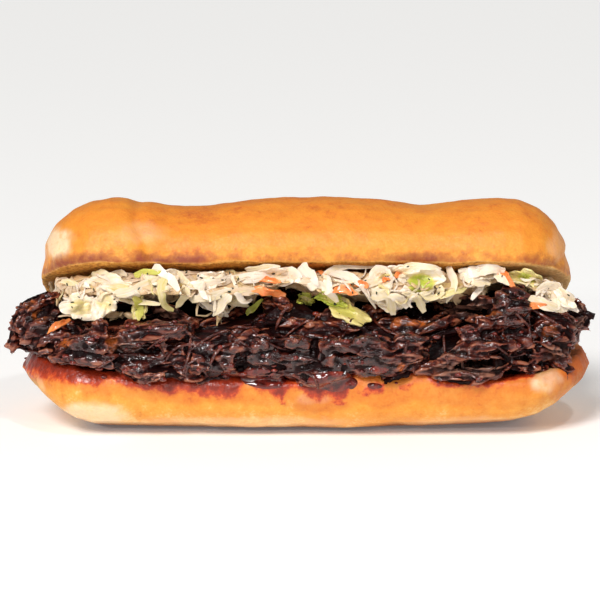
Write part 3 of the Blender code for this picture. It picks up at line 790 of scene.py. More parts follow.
brisketValues = {
    "seed": 21,
    "fillBundles": 250,
    "endBundles": 70,
    "fillFibres": 5,
    "heroFibres": 7,
    "looseFibres": 75,
    "voxel": 0.45 * mm,
    # the heap under the shreds: how far it is sunk, and the height of its grain
    "core": {"voxel": 1.1 * mm, "sunk": 2.2 * mm, "grain": 0.55 * mm},
    # patches in the front view: middle, half width and half height in mm, strength
    "bark": ((-45.5, 39, 7, 3, 0.9), (-58, 28, 6, 4, 0.6), (55, 41.5, 10, 3.4, 0.9), (93, 38, 3, 5, 1.0),
             (56, 20.5, 14, 3, 0.8), (48, 26, 10, 2, 0.5), (-84, 39, 4, 2, 0.4), (10, 40, 6, 2, 0.4),
             (86, 27, 5, 4, 0.6), (18, 31, 5, 2, 0.4)),
    # where sauce lies so thick that it rounds the strands off
    "gloss": ((-12, 26, 8, 6, 1.0), (-1, 26, 7, 7, 1.0), (11, 24.5, 9, 8, 1.0), (25, 22, 7, 4.5, 1.0),
              (-72.5, 26.5, 6, 6, 1.0), (-55, 24, 10, 5, 0.9), (-28, 25, 9, 6, 0.9), (71, 41.5, 8, 8, 0.8),
              (40, 34, 10, 6, 0.8), (-86, 37, 6, 7, 0.7), (80, 34, 8, 6, 0.7), (20, 32, 10, 5, 0.8),
              (64, 33, 8, 4, 0.6), (-40, 35, 10, 3, 0.5)),
    "amber": ((33.7, 21, 1.5, 1.4, 1.0), (32.3, 36.5, 1.8, 1.6, 0.8), (-78.5, 29.5, 2, 1.6, 0.7),
              (-87, 38, 2.5, 2, 0.4), (-90, 42, 2, 2, 0.4), (83, 33, 2.5, 3, 0.35), (-63, 29, 2, 3, 0.35),
              (-29, 34, 3, 1.5, 0.35), (39, 36, 5, 1.4, 0.5), (63, 39, 5, 1, 0.4)),
    # pockets between the shreds, dented in and painted darker as shade
    "pockets": ((-74.5, 34.2, 4.0, 2.2, 1.0), (-50, 27, 3.8, 2.0, 1.0), (-14, 37, 9, 2.2, 0.9),
                (46, 28.6, 4.6, 1.5, 1.0), (61, 22.4, 7, 1.3, 1.0), (-37.5, 28, 1.6, 4, 0.8),
                (-20, 23, 2, 3.4, 0.8), (4.6, 27, 1.4, 4, 0.7), (26, 33.6, 4, 1.2, 0.7),
                (-61, 24, 1.6, 3, 0.6), (75, 26, 3, 1.6, 0.7), (40, 38.6, 4, 1.6, 0.8)),
    # bundles of fibres seen from the front: places (x, height) in mm, thickness in mm
    "bundles": (
        (((-92, 39.7), (-94.3, 36.3), (-95.7, 30.3), (-96.3, 25.3)), 2.2),
        (((-80.7, 45), (-81.3, 41), (-83.3, 36.3)), 4),
        (((-92.7, 33.7), (-90, 39.7), (-84.7, 43.7), (-79.3, 45)), 4.5),
        (((-93.3, 28.7), (-88.7, 34.3), (-82.7, 37.7)), 4.5),
        (((-90, 27), (-85.3, 31), (-79.3, 32.3)), 4),
        (((-67.3, 37), (-66.7, 31.7), (-67.7, 26)), 5.5),
        (((-62.7, 29.7), (-53.3, 31.7), (-43.3, 33.3), (-34, 36.3)), 5.6),
        (((-61.7, 33.7), (-50, 33.7), (-36.7, 35)), 4),
        (((-54, 39), (-46.7, 40.7), (-37.3, 37.7)), 4.5),
        (((-56.7, 24.3), (-50, 26.3), (-42.7, 27)), 4.2),
        (((-55, 21.7), (-48.3, 22.3), (-41.7, 23.7)), 3.5),
        (((-38, 29.7), (-35.3, 25), (-35, 19)), 5),
        (((-33.3, 28.7), (-30.7, 24.3), (-32, 19.7)), 4),
        (((-34.7, 35), (-23.3, 37.7), (-12.7, 42.3), (-6.7, 45.7), (-2, 46.7)), 4.2),
        (((-12.7, 43), (-8, 42.7), (-2.7, 41)), 5),
        (((-26, 29.7), (-19.7, 34.3), (-12, 37), (-5.3, 37.7)), 2.8),
        (((-24, 26.3), (-19.7, 31), (-13.3, 33.7), (-4.7, 34.7), (-0.7, 31.3)), 2.6),
        (((-22.7, 24.7), (-18, 29), (-12.7, 31.3), (-6, 31.7)), 2.2),
        (((-17.3, 27), (-12.7, 28.3), (-7.3, 26.3)), 4.2),
        (((-16.7, 23), (-12, 24.3), (-6.7, 23)), 4),
        (((-5.3, 28.7), (-1, 29.7), (3.3, 27.3)), 4.4),
        (((-5.3, 23), (-0.7, 24.3), (3.3, 22.3)), 4.2),
        (((-1.3, 31.7), (5.7, 36.7), (12, 40.7)), 3.8),
        (((0.3, 31.7), (8.7, 32.7), (17.3, 34)), 3.2),
        (((3, 34.7), (10, 36.3), (17.3, 35.7)), 4.6),
        (((5.3, 27.7), (11, 29), (16.7, 27.3)), 4.4),
        (((6, 23), (11.3, 23.7), (17.3, 22.3)), 4.6),
        (((17.7, 30.3), (23.3, 29.3), (30, 30.3)), 3.8),
        (((18.7, 26.3), (24.7, 26.7), (31.3, 25)), 4.2),
        (((20.7, 22.3), (26, 23), (32, 21.3)), 4.6),
        (((30, 33.7), (34.7, 36.3), (40, 35)), 4.2),
        (((30.7, 28.7), (35.3, 30.3), (41.3, 29)), 4.4),
        (((32.7, 23), (37.3, 25), (41.3, 26.3)), 4.2),
        (((42.3, 41.7), (51.7, 42.3), (65.3, 43)), 5.2),
        (((43.3, 37.7), (53.3, 40.3), (60.7, 39.3)), 2),
        (((40.3, 33), (48.7, 36.3), (56.7, 38.3), (64, 34)), 3.6),
        (((52, 32.3), (55.3, 33.3), (59.3, 31)), 4.4),
        (((65.3, 43.7), (70, 46.3), (75.3, 45.7)), 5.6),
        (((64.7, 39), (70, 41.7), (76.7, 41)), 5.6),
        (((64, 35), (69.3, 37), (75.3, 36.3)), 4.6),
        (((37.7, 20), (47.7, 23.7), (56.7, 29.3), (64.3, 32.7)), 3.4),
        (((42.3, 21), (52.3, 23.3), (61.3, 25), (69.7, 24)), 3.6),
        (((43.7, 18), (54.7, 19.3), (63.3, 20), (70.7, 22.7)), 4.2),
        (((49.3, 18), (52.3, 17.3), (55.3, 16.7)), 1.2),
        (((59.3, 27), (66.7, 28.7), (73.3, 28)), 4.2),
        (((66.7, 31.7), (72, 32.3), (78, 30.3)), 4.4),
        (((77.7, 29.3), (81.3, 25.3), (86.7, 22), (90, 19.3)), 2.8),
        (((80, 30.3), (85.3, 27), (90.7, 23)), 3),
        (((73.7, 22.3), (81.3, 22), (88.7, 19.7)), 1.6),
        (((87.7, 20.3), (88.7, 17.7), (86.7, 15.3)), 1.4),
        (((76.3, 39.7), (84, 37.7), (91.3, 36.3)), 5.5),
        (((78, 35), (85.3, 33), (91.3, 30.3)), 5),
        (((88.7, 43.7), (92.3, 43), (93.7, 39.7), (92.3, 33.7)), 3),
        (((18, 37.5), (26, 40), (34, 40.4), (42, 39)), 5),
        (((-7, 46), (0, 47), (7, 45)), 4.5),
        (((91, 35.7), (93.3, 36.3), (95.4, 36.3)), 1),
        (((92, 36.3), (94.8, 34.6), (96.9, 33.2)), 1.2),
    ),
    # the foot of the heap in the front view, where it lies on the bread's lip
    "lowerEdge": ((-92, 26), (-84, 24.5), (-70, 22.0), (-50, 21), (-30, 20.8), (-20, 20), (-12, 18.2),
                  (12, 17.8), (20, 20.5), (40, 20), (50, 17), (70, 18.5), (90, 20)),
    # rough chunks: place (x, height), half width and half height in mm
    "chunks": (
        ((-90, 40.3), 3.2, 3.2), ((-85, 33.7), 3.4, 3.2), ((-90, 32), 3, 3),
        ((-82.7, 41), 2.6, 3.2), ((-67.3, 31.3), 3, 5.2), ((-74.3, 28), 3.2, 2.8),
        ((-79.3, 28.7), 2.6, 2.4), ((-35.3, 24.3), 3.6, 5.6), ((-12, 26), 6, 4.4),
        ((-1, 26), 5, 5), ((11.3, 24.7), 6.2, 5.4), ((23.7, 28.7), 5.4, 3.2),
        ((25.3, 22.3), 4.6, 2.8), ((-7.3, 43.7), 5.2, 3), ((71, 41.7), 6.2, 5.6),
        ((54, 41), 9, 3), ((55.7, 32.3), 3, 2), ((85, 35.3), 6.6, 4.6),
        ((-50, 23), 6, 2.6), ((-60, 26.3), 4, 3.2), ((-68.3, 23), 4, 2),
        ((35, 32), 4.6, 3.2), ((36.7, 26.3), 4, 3), ((73, 33), 5, 4),
        ((-44, 33), 5, 2.6), ((-56, 31.5), 4.6, 2.8), ((83, 28), 4.6, 3.6),
    ),
}


def strandTemplate(sides, segments, lobes, seed):
    # a tapered strand, 1 long: a tube with lobes like the fibres in a shred of meat
    strand, points = slicedTube(sides, [cut / segments for cut in range(1, segments)])
    along = points[:, 0]
    angle = np.arctan2(points[:, 2], points[:, 1])
    taper = np.sqrt(np.clip(1 - np.abs(2 * along - 1) ** 5, 0.06, 1))
    rough = 1 + 0.16 * noiseField(points * np.array((9, 3, 3)), 1.0, seed)
    if lobes:
        rough *= 1 + lobes * 0.10 * np.cos(lobes * angle + 3 * along + seed)
    points[:, 1:] *= (taper * rough)[:, None]
    putPoints(strand, points)
    return templateFrom(strand)


def chunkTemplate(seed):
    # a torn chunk, 1 across, with ridges and pits
    bpy.ops.mesh.primitive_ico_sphere_add(subdivisions=4, radius=0.5)
    chunk = bpy.context.object
    points = pointsOf(chunk)
    ways = unit(points)
    rough = 1 + 0.30 * noiseField(ways, 0.75, seed) + 0.22 * noiseField(ways, 0.3, seed + 4)
    rough += 0.10 * noiseField(ways, 0.13, seed + 8)
    putPoints(chunk, points * rough[:, None])
    return templateFrom(chunk)


def hollowness(obj):
    # how far each point lies below its surroundings, 0 to 1; the meat takes it as painted shade
    points, normals = pointsOf(obj), normalsOf(obj)
    smooth = np.stack([smoothOver(obj, points[:, i], 14) for i in range(3)], axis=1)
    return np.clip(0.5 + np.sum((smooth - points) * normals, axis=1) / (0.9 * mm), 0, 1)


def bundleCopies(path, outward, thickness, fibres, template, coreTemplate, draw):
    # a core strand with fibres wound round it, which fray a little at both ends
    copies = [(bendAlong(coreTemplate[0], path, outward, thickness * 0.95, thickness * 0.75,
                         draw.uniform(-0.6, 0.6), draw.uniform(-1.2, 1.2)), coreTemplate[1])]
    ahead = unit(np.gradient(path, axis=0))
    facing = unit(outward - ahead * np.sum(outward * ahead, axis=1, keepdims=True))
    side = np.cross(ahead, facing)
    t = np.linspace(0, 1, len(path))
    for number in range(fibres):
        start = 2 * math.pi * number / fibres + draw.uniform(-0.4, 0.4)
        wind = start + draw.uniform(-0.9, 0.9) * t * 2
        wave = 1 + 0.25 * np.sin(t * draw.uniform(4, 9) + draw.uniform(0, 6))
        taper = np.sqrt(np.clip(1 - np.abs(2 * t - 1) ** 4, 0.15, 1))
        off = thickness * 0.36 * wave * taper
        fibre = path + side * (np.cos(wind) * off)[:, None] + facing * (np.sin(wind) * off * 0.75)[:, None]
        first = int(draw.uniform(0, 0.18) * len(path))
        last = len(path) - int(draw.uniform(0, 0.18) * len(path))
        if last - first < 4:
            continue
        width = thickness * draw.uniform(0.26, 0.42)
        copies.append((bendAlong(template[0], fibre[first:last], outward[first:last], width * 1.2, width,
                                 draw.uniform(0, 3)), template[1]))
    return copies


def shapeBrisketCore(values):
    # the heap under the shreds: sunk a little, with a coarse grain
    core = copyOfNode("brisket", "brisketCore")
    applyModifier(core, "REMESH", mode="VOXEL", voxel_size=values["voxel"], adaptivity=0)
    points, normals = pointsOf(core), normalsOf(core)
    fibrous = noiseField(points * np.array((0.25, 1, 1)), 1.6 * mm, 2.0)
    points += normals * (values["grain"] * fibrous - values["sunk"])[:, None]
    putPoints(core, insideBox(points))
    smoothShade(core)
    # painted shade: the heap shows only in the gaps between shreds, so it gets nearly the darkest tone
    giveAttribute(core, "hollow", np.full(len(points), 0.95))
    return core


def fuseShreds(name, copies, values):
    # strands and chunks grow together into one wet piece with grain, cracks and sunken pockets, and painted
    # shade in its hollows and pockets
    meat = joinCopies(name, copies)
    applyModifier(meat, "REMESH", mode="VOXEL", voxel_size=values["voxel"], adaptivity=0)
    applyModifier(meat, "SMOOTH", factor=0.5, iterations=1)
    points, normals = pointsOf(meat), normalsOf(meat)
    across, high = inFrontView(points)
    gloss = spots(across + 1.5 * noiseField(points, 3 * mm, 3.0), high, values["gloss"])
    smooth = np.stack([smoothOver(meat, points[:, i], 7) for i in range(3)], axis=1)
    points += (smooth - points) * gloss[:, None] * 0.85
    # the grain runs along the roll, so its noise is drawn out that way
    drawnOut = points * np.array((0.2, 1, 1))
    change = 0.26 * mm * noiseField(drawnOut, 1.2 * mm, 6.0) * (1 - 0.6 * gloss)
    change += 0.55 * mm * noiseField(points, 2.3 * mm, 8.0) * gloss
    change -= 0.7 * mm * smoothStep(0.2, 0.0, abs(noiseField(drawnOut, 5.0 * mm, 12.0)))
    change -= 0.5 * mm * smoothStep(0.25, 0.0, abs(noiseField(drawnOut, 2.4 * mm, 15.0))) * (1 - gloss)
    ragged = 0.8 * noiseField(points, 2.5 * mm, 19.0)
    pocket = spots(across + ragged, high + ragged, values["pockets"])
    pocket *= smoothStep(5 * mm, -5 * mm, points[:, 1])
    change -= 2.0 * mm * pocket
    putPoints(meat, insideBox(points + normals * change[:, None]))
    # painted shade: darker in the hollows, and darker still in the pockets
    giveAttribute(meat, "hollow", np.clip(hollowness(meat) + 0.7 * pocket, 0, 1.4))
    giveAttribute(meat, "gloss", gloss)
    for measure in ("bark", "amber"):
        giveAttribute(meat, measure, spots(across, high, values[measure]))
    smoothShade(meat)
    return meat


def layLooseFibres(pile, template, values, draw):
    # loose fibres on top of the wet heap, left crisp
    fibres = []
    for start, outward in exposedPlaces("brisket", (rollTree, slawTree), values["looseFibres"], draw):
        heading = headingOn(outward, draw.gauss(0.1, 0.8))
        size = draw.uniform(0.5, 1.0) * mm
        path, facing = layFromSide(
            pile, start, outward, heading, draw.uniform(6, 15) * mm, draw.uniform(-2.5, 2.5) * mm,
            size * 0.5, (brisketTree, 0.3 * mm))
        if path is not None:
            fibres.append(insideBox(bendAlong(template[0], path, facing, size * 1.3, size)))
    loose = bentCopies("brisketFibres", fibres, template[1])
    smoothShade(loose)
    # painted shade: the loose fibres get a middling darkening
    giveAttribute(loose, "hollow", np.full(len(loose.data.vertices), 0.45))
    return loose


def buildBrisket(values):
    draw = random.Random(values["seed"])
    core = shapeBrisketCore(values["core"])
    thin = strandTemplate(6, 18, 0, 1.0)
    thick = strandTemplate(12, 20, 5, 2.0)
    chunks = [chunkTemplate(seed) for seed in (1.0, 5.0, 9.0)]
    pile = startPile(core)
    groups = {"left": [], "middle": [], "right": []}

    def keep(copies):
        middle = np.mean(np.concatenate([part for part, _ in copies])[:, 0])
        group = "left" if middle < -30 * mm else "middle" if middle < 36 * mm else "right"
        groups[group].extend(copies)
        for part, partFaces in copies:
            addToPile(pile, part, partFaces)

    # fill first, so that the named bundles lie on top
    places = exposedPlaces("brisket", (rollTree, slawTree), values["fillBundles"], draw)
    places += exposedPlaces("brisket", (rollTree, slawTree), values["endBundles"], draw, 1.5 * mm, True)
    for count, (start, outward) in enumerate(places):
        heading = headingOn(outward, draw.gauss(0.15, 0.5))
        if heading[0] < 0:
            heading = -heading
        thickness = draw.uniform(2.2, 4.4) * mm
        path, facing = layFromSide(
            pile, start, outward, heading, draw.uniform(10, 24) * mm, draw.uniform(-3, 3) * mm,
            thickness * 0.15, (brisketTree, -thickness * 0.4))
        if path is None:
            continue
        facing = facing[:1].repeat(14, axis=0)
        keep(bundleCopies(evenPath(path, 14), facing, thickness, values["fillFibres"], thin, thick, draw))
        if count % 30 == 29:
            settle(pile)
    settle(pile)

    # chunks along the foot of the heap, then the named ones
    footRow = []
    for x in range(-84, 90, 4):
        h = alongRoll(x, values["lowerEdge"]) + draw.uniform(0.6, 1.8)
        footRow.append(((x, h), draw.uniform(2.2, 4.2), draw.uniform(1.3, 2.2)))
    for number, ((x, h), halfWidth, halfHeight) in enumerate((*footRow, *values["chunks"])):
        start, way = frontRay(x, h)
        hit = pile["tree"].ray_cast(start, way)
        bread = rollTree.ray_cast(start, way)
        if hit[0] is None or (bread[0] is not None and bread[3] < hit[3]):
            hit = bread
        if hit[0] is None:
            continue
        outer = brisketTree.ray_cast(start, way)
        nearest = outer[3] + 1.1 * min(halfWidth, halfHeight) * mm if outer[0] is not None else 0
        centre = np.array(start + way * max(hit[3] + 0.5 * mm, nearest))
        template, faces = chunks[number % 3]
        size = np.array((2 * halfWidth, 1.5 * min(halfWidth, halfHeight), 2 * halfHeight)) * mm
        keep([(template * size + centre, faces)])
    settle(pile)

    for number, (places, thickness) in enumerate(values["bundles"]):
        size = thickness * mm
        path, facing = layFromFront(pile, places, size * 0.30, (brisketTree, -size * 0.3))
        if path is None:
            continue
        count = max(10, min(24, int(np.linalg.norm(path[-1] - path[0]) / (1.3 * mm))))
        fibres = values["heroFibres"] if thickness > 2.5 else 3
        keep(bundleCopies(evenPath(path, count), evenPath(facing, count), size, fibres, thin, thick, draw))
        if number % 10 == 9:
            settle(pile)
    settle(pile)

    pieces = [core]
    for group, copies in groups.items():
        pieces.append(fuseShreds("brisketShreds" + group.title(), copies, values))
        print("stage:", pieces[-1].name, len(pieces[-1].data.polygons), "faces")
    pieces.append(layLooseFibres(pile, thin, values, draw))
    return pieces, pile


meatPieces, brisketPile = buildBrisket(brisketValues)


meatLook = {
    "patterns": {
        "streaks": (1.6 * mm, 4, 0.6, 0.2, 0.5),
        "patches": (6 * mm, 3, 0.6, 1, 0),
        "fine": (0.6 * mm, 3, 0.6, 0.3, 0),
        "wet": (1.25 * mm, 2, 0.45, 0.6, 0),
    },
    "meat": ((0.30, "#120202"), (0.45, "#270705"), (0.56, "#3f120a"), (0.68, "#622717"), (0.85, "#93553b")),
    "bark": ((0.3, "#1c0f0c"), (0.6, "#4a3129"), (0.85, "#7c5f50")),
    "amber": "#c8641c",
}


def meatMaterial(look):
    # slow-smoked beef, dark and stringy under wet sauce: small hard glints on a nearly black brown
    material, tree, patterns, measures = startMaterial("smokedBeefInSauce", look["patterns"], (
        "hollow", "gloss", "bark", "amber"))
    streaks, patches, fine, wet = patterns
    hollow, gloss, bark, amber = measures

    # painted shade: darker in the hollows; darker too where the sauce is thick
    grain = sumOf(tree, 0, (streaks, 0.72), (patches, 0.38), limited=True)
    tone = sumOf(tree, 0.275, (grain, 1), (hollow, -0.55), (gloss, -0.13), limited=True)
    colour = addNode(tree, "ValToRGB", {"stops": look["meat"]}, (tone,))
    barkColour = addNode(tree, "ValToRGB", {"stops": look["bark"]}, (tone,))
    inStreaks = addNode(tree, "ValToRGB", {"stops": ((0.42, 0.1), (0.6, 1.0))}, (streaks,))
    fatty = addNode(tree, "Math", {"operation": "MULTIPLY"}, (amber, inStreaks))
    for amount, layer in ((sumOf(tree, 0, (bark, 0.8)), barkColour), (fatty, look["amber"])):
        colour = addNode(tree, "Mix", {"data_type": "RGBA"}, (amount, colour, layer))

    bump = addNode(tree, "Bump", None, {"Strength": 0.6, "Distance": 0.35 * mm, "Height": fine})
    film = addNode(tree, "Bump", None, {"Strength": 0.9, "Distance": 0.75 * mm, "Height": wet})
    # the sauce lies thick in some places and thin on the bark; in the hollows the coat is mostly taken away,
    # so that they read darker as painted shade
    thick = addNode(tree, "ValToRGB", {"stops": ((0.40, 0.3), (0.54, 1.0))}, (patches,))
    coat = sumOf(tree, 0, (thick, 1), (bark, -0.5), (gloss, 1), limited=True)
    outsideShadedHollows = addNode(tree, "ValToRGB", {"stops": ((0.45, 1.0), (0.64, 0.12))}, (hollow,))
    return finishMaterial(material, tree, {
        "Base Color": colour,
        "Roughness": 0.55,
        "Normal": bump,
        "IOR": 1.4,
        "Specular IOR Level": 0.08,
        "Coat Weight": addNode(tree, "Math", {"operation": "MULTIPLY"}, (coat, outsideShadedHollows)),
        "Coat Roughness": 0.05,
        "Coat IOR": 1.65,
        "Coat Normal": film,
    })


saucedBeef = meatMaterial(meatLook)

sauceValues = {
    "seed": 31,
    "beads": 170,
    # pools that have run over the bread's lip: middle (x, height), width, height, turn, seed
    "pools": (
        ((-12.6, 17.4), 17.0, 7.4, -5, 1.0),
        ((10.4, 16.6), 15.0, 8.0, 3, 3.0),
        ((17.0, 16.0), 5.0, 4.2, -25, 4.0),
        ((24.6, 15.0), 5.6, 2.6, -8, 5.0),
        ((26.0, 20.3), 7.0, 3.2, 4, 6.0),
        ((-24.0, 19.2), 6.0, 3.0, 12, 7.0),
    ),
}


def layPool(pile, index, place, width, height, turn, seed):
    # a smooth tongue of sauce, thick in the middle, that clings to what is under it
    bpy.ops.mesh.primitive_grid_add(x_subdivisions=28, y_subdivisions=18, size=2)
    pool = bpy.context.object
    pool.name = "saucePool" + str(index)
    lobes = ((0.08, 2, seed * 2.3), (0.06, 3, seed * 1.1))
    x, h, _, _, reach = spreadSheet(pool, place, (width, height), turn, 0.96, lobes)
    rays = [frontRay(*spot)[1] for spot in zip(x, h)]
    hits = [pile["tree"].ray_cast(eye, way)[3] for way in rays]
    depths = np.array([hit if hit is not None else np.nan for hit in hits])
    depths = np.where(np.isnan(depths), np.nanmedian(depths), depths)
    depths = smoothOver(pool, np.minimum(depths, np.nanmedian(depths) + 4 * mm), 10)
    lift = (0.6 + 0.035 * width) * np.sqrt(np.clip(1 - reach**2, 0, 1)) - 0.35
    lift += 0.22 * noiseField(np.stack([x, h, np.full(len(x), seed)], axis=1), 2.2, seed) * (1 - reach**2)
    putPoints(pool, insideBox(np.array(eye) + np.array(rays) * (depths - lift * mm)[:, None]))
    finishSheet(pool, 0.7 * mm, -1, 60)
    return pool


def buildSauce(values):
    draw = random.Random(values["seed"])
    pile = startPile(roll, *meatPieces)
    pools = [layPool(pile, index, *pool) for index, pool in enumerate(values["pools"])]
    bpy.ops.mesh.primitive_ico_sphere_add(subdivisions=2, radius=0.5)
    template, faces = templateFrom(bpy.context.object)
    beads = []
    for place, outward in exposedPlaces("brisket", (rollTree, slawTree), values["beads"], draw):
        hit = pile["tree"].ray_cast(Vector(place + outward * 8 * mm), Vector(-outward))
        if hit[0] is None or hit[3] > 14 * mm:
            continue
        size = draw.uniform(0.6, 1.9) * mm
        shape = template * np.array((draw.uniform(1, 1.8), 1, draw.uniform(0.7, 1))) * size
        beads.append(insideBox(shape + np.array(hit[0])))
    beadPiece = bentCopies("sauceBeads", beads, faces)
    smoothShade(beadPiece)
    return (*pools, beadPiece)


saucePieces = buildSauce(sauceValues)


def sauceMaterial():
    # thick barbecue sauce: a dark burgundy gel, very glossy, redder where it is thin
    material, tree, patterns, _ = startMaterial("barbecueSauce", {
        "thickness": (2.5 * mm, 2, 0.55, 1, 0), "ripple": (1.7 * mm, 1, 0.55, 1, 0)})
    stops = ((0.35, "#3c0b06"), (0.55, "#6a1a10"), (0.8, "#96381f"))
    colour = addNode(tree, "ValToRGB", {"stops": stops}, (patterns[0],))
    bump = addNode(tree, "Bump", None, {"Strength": 0.9, "Distance": 1.5 * mm, "Height": patterns[1]})
    return finishMaterial(material, tree, {
        "Base Color": colour,
        "Roughness": 0.3,
        "Normal": bump,
        "Specular IOR Level": 0.1,
        "Coat Weight": 1.0,
        "Coat Roughness": 0.04,
        "Coat IOR": 1.6,
    })


barbecueSauce = sauceMaterial()
for pieces, material in ((saucePieces, barbecueSauce), (meatPieces, saucedBeef)):
    for piece in pieces:
        piece.data.materials.append(material)
        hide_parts("brisket")
        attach(piece, "root")
print("stage: brisket ready")


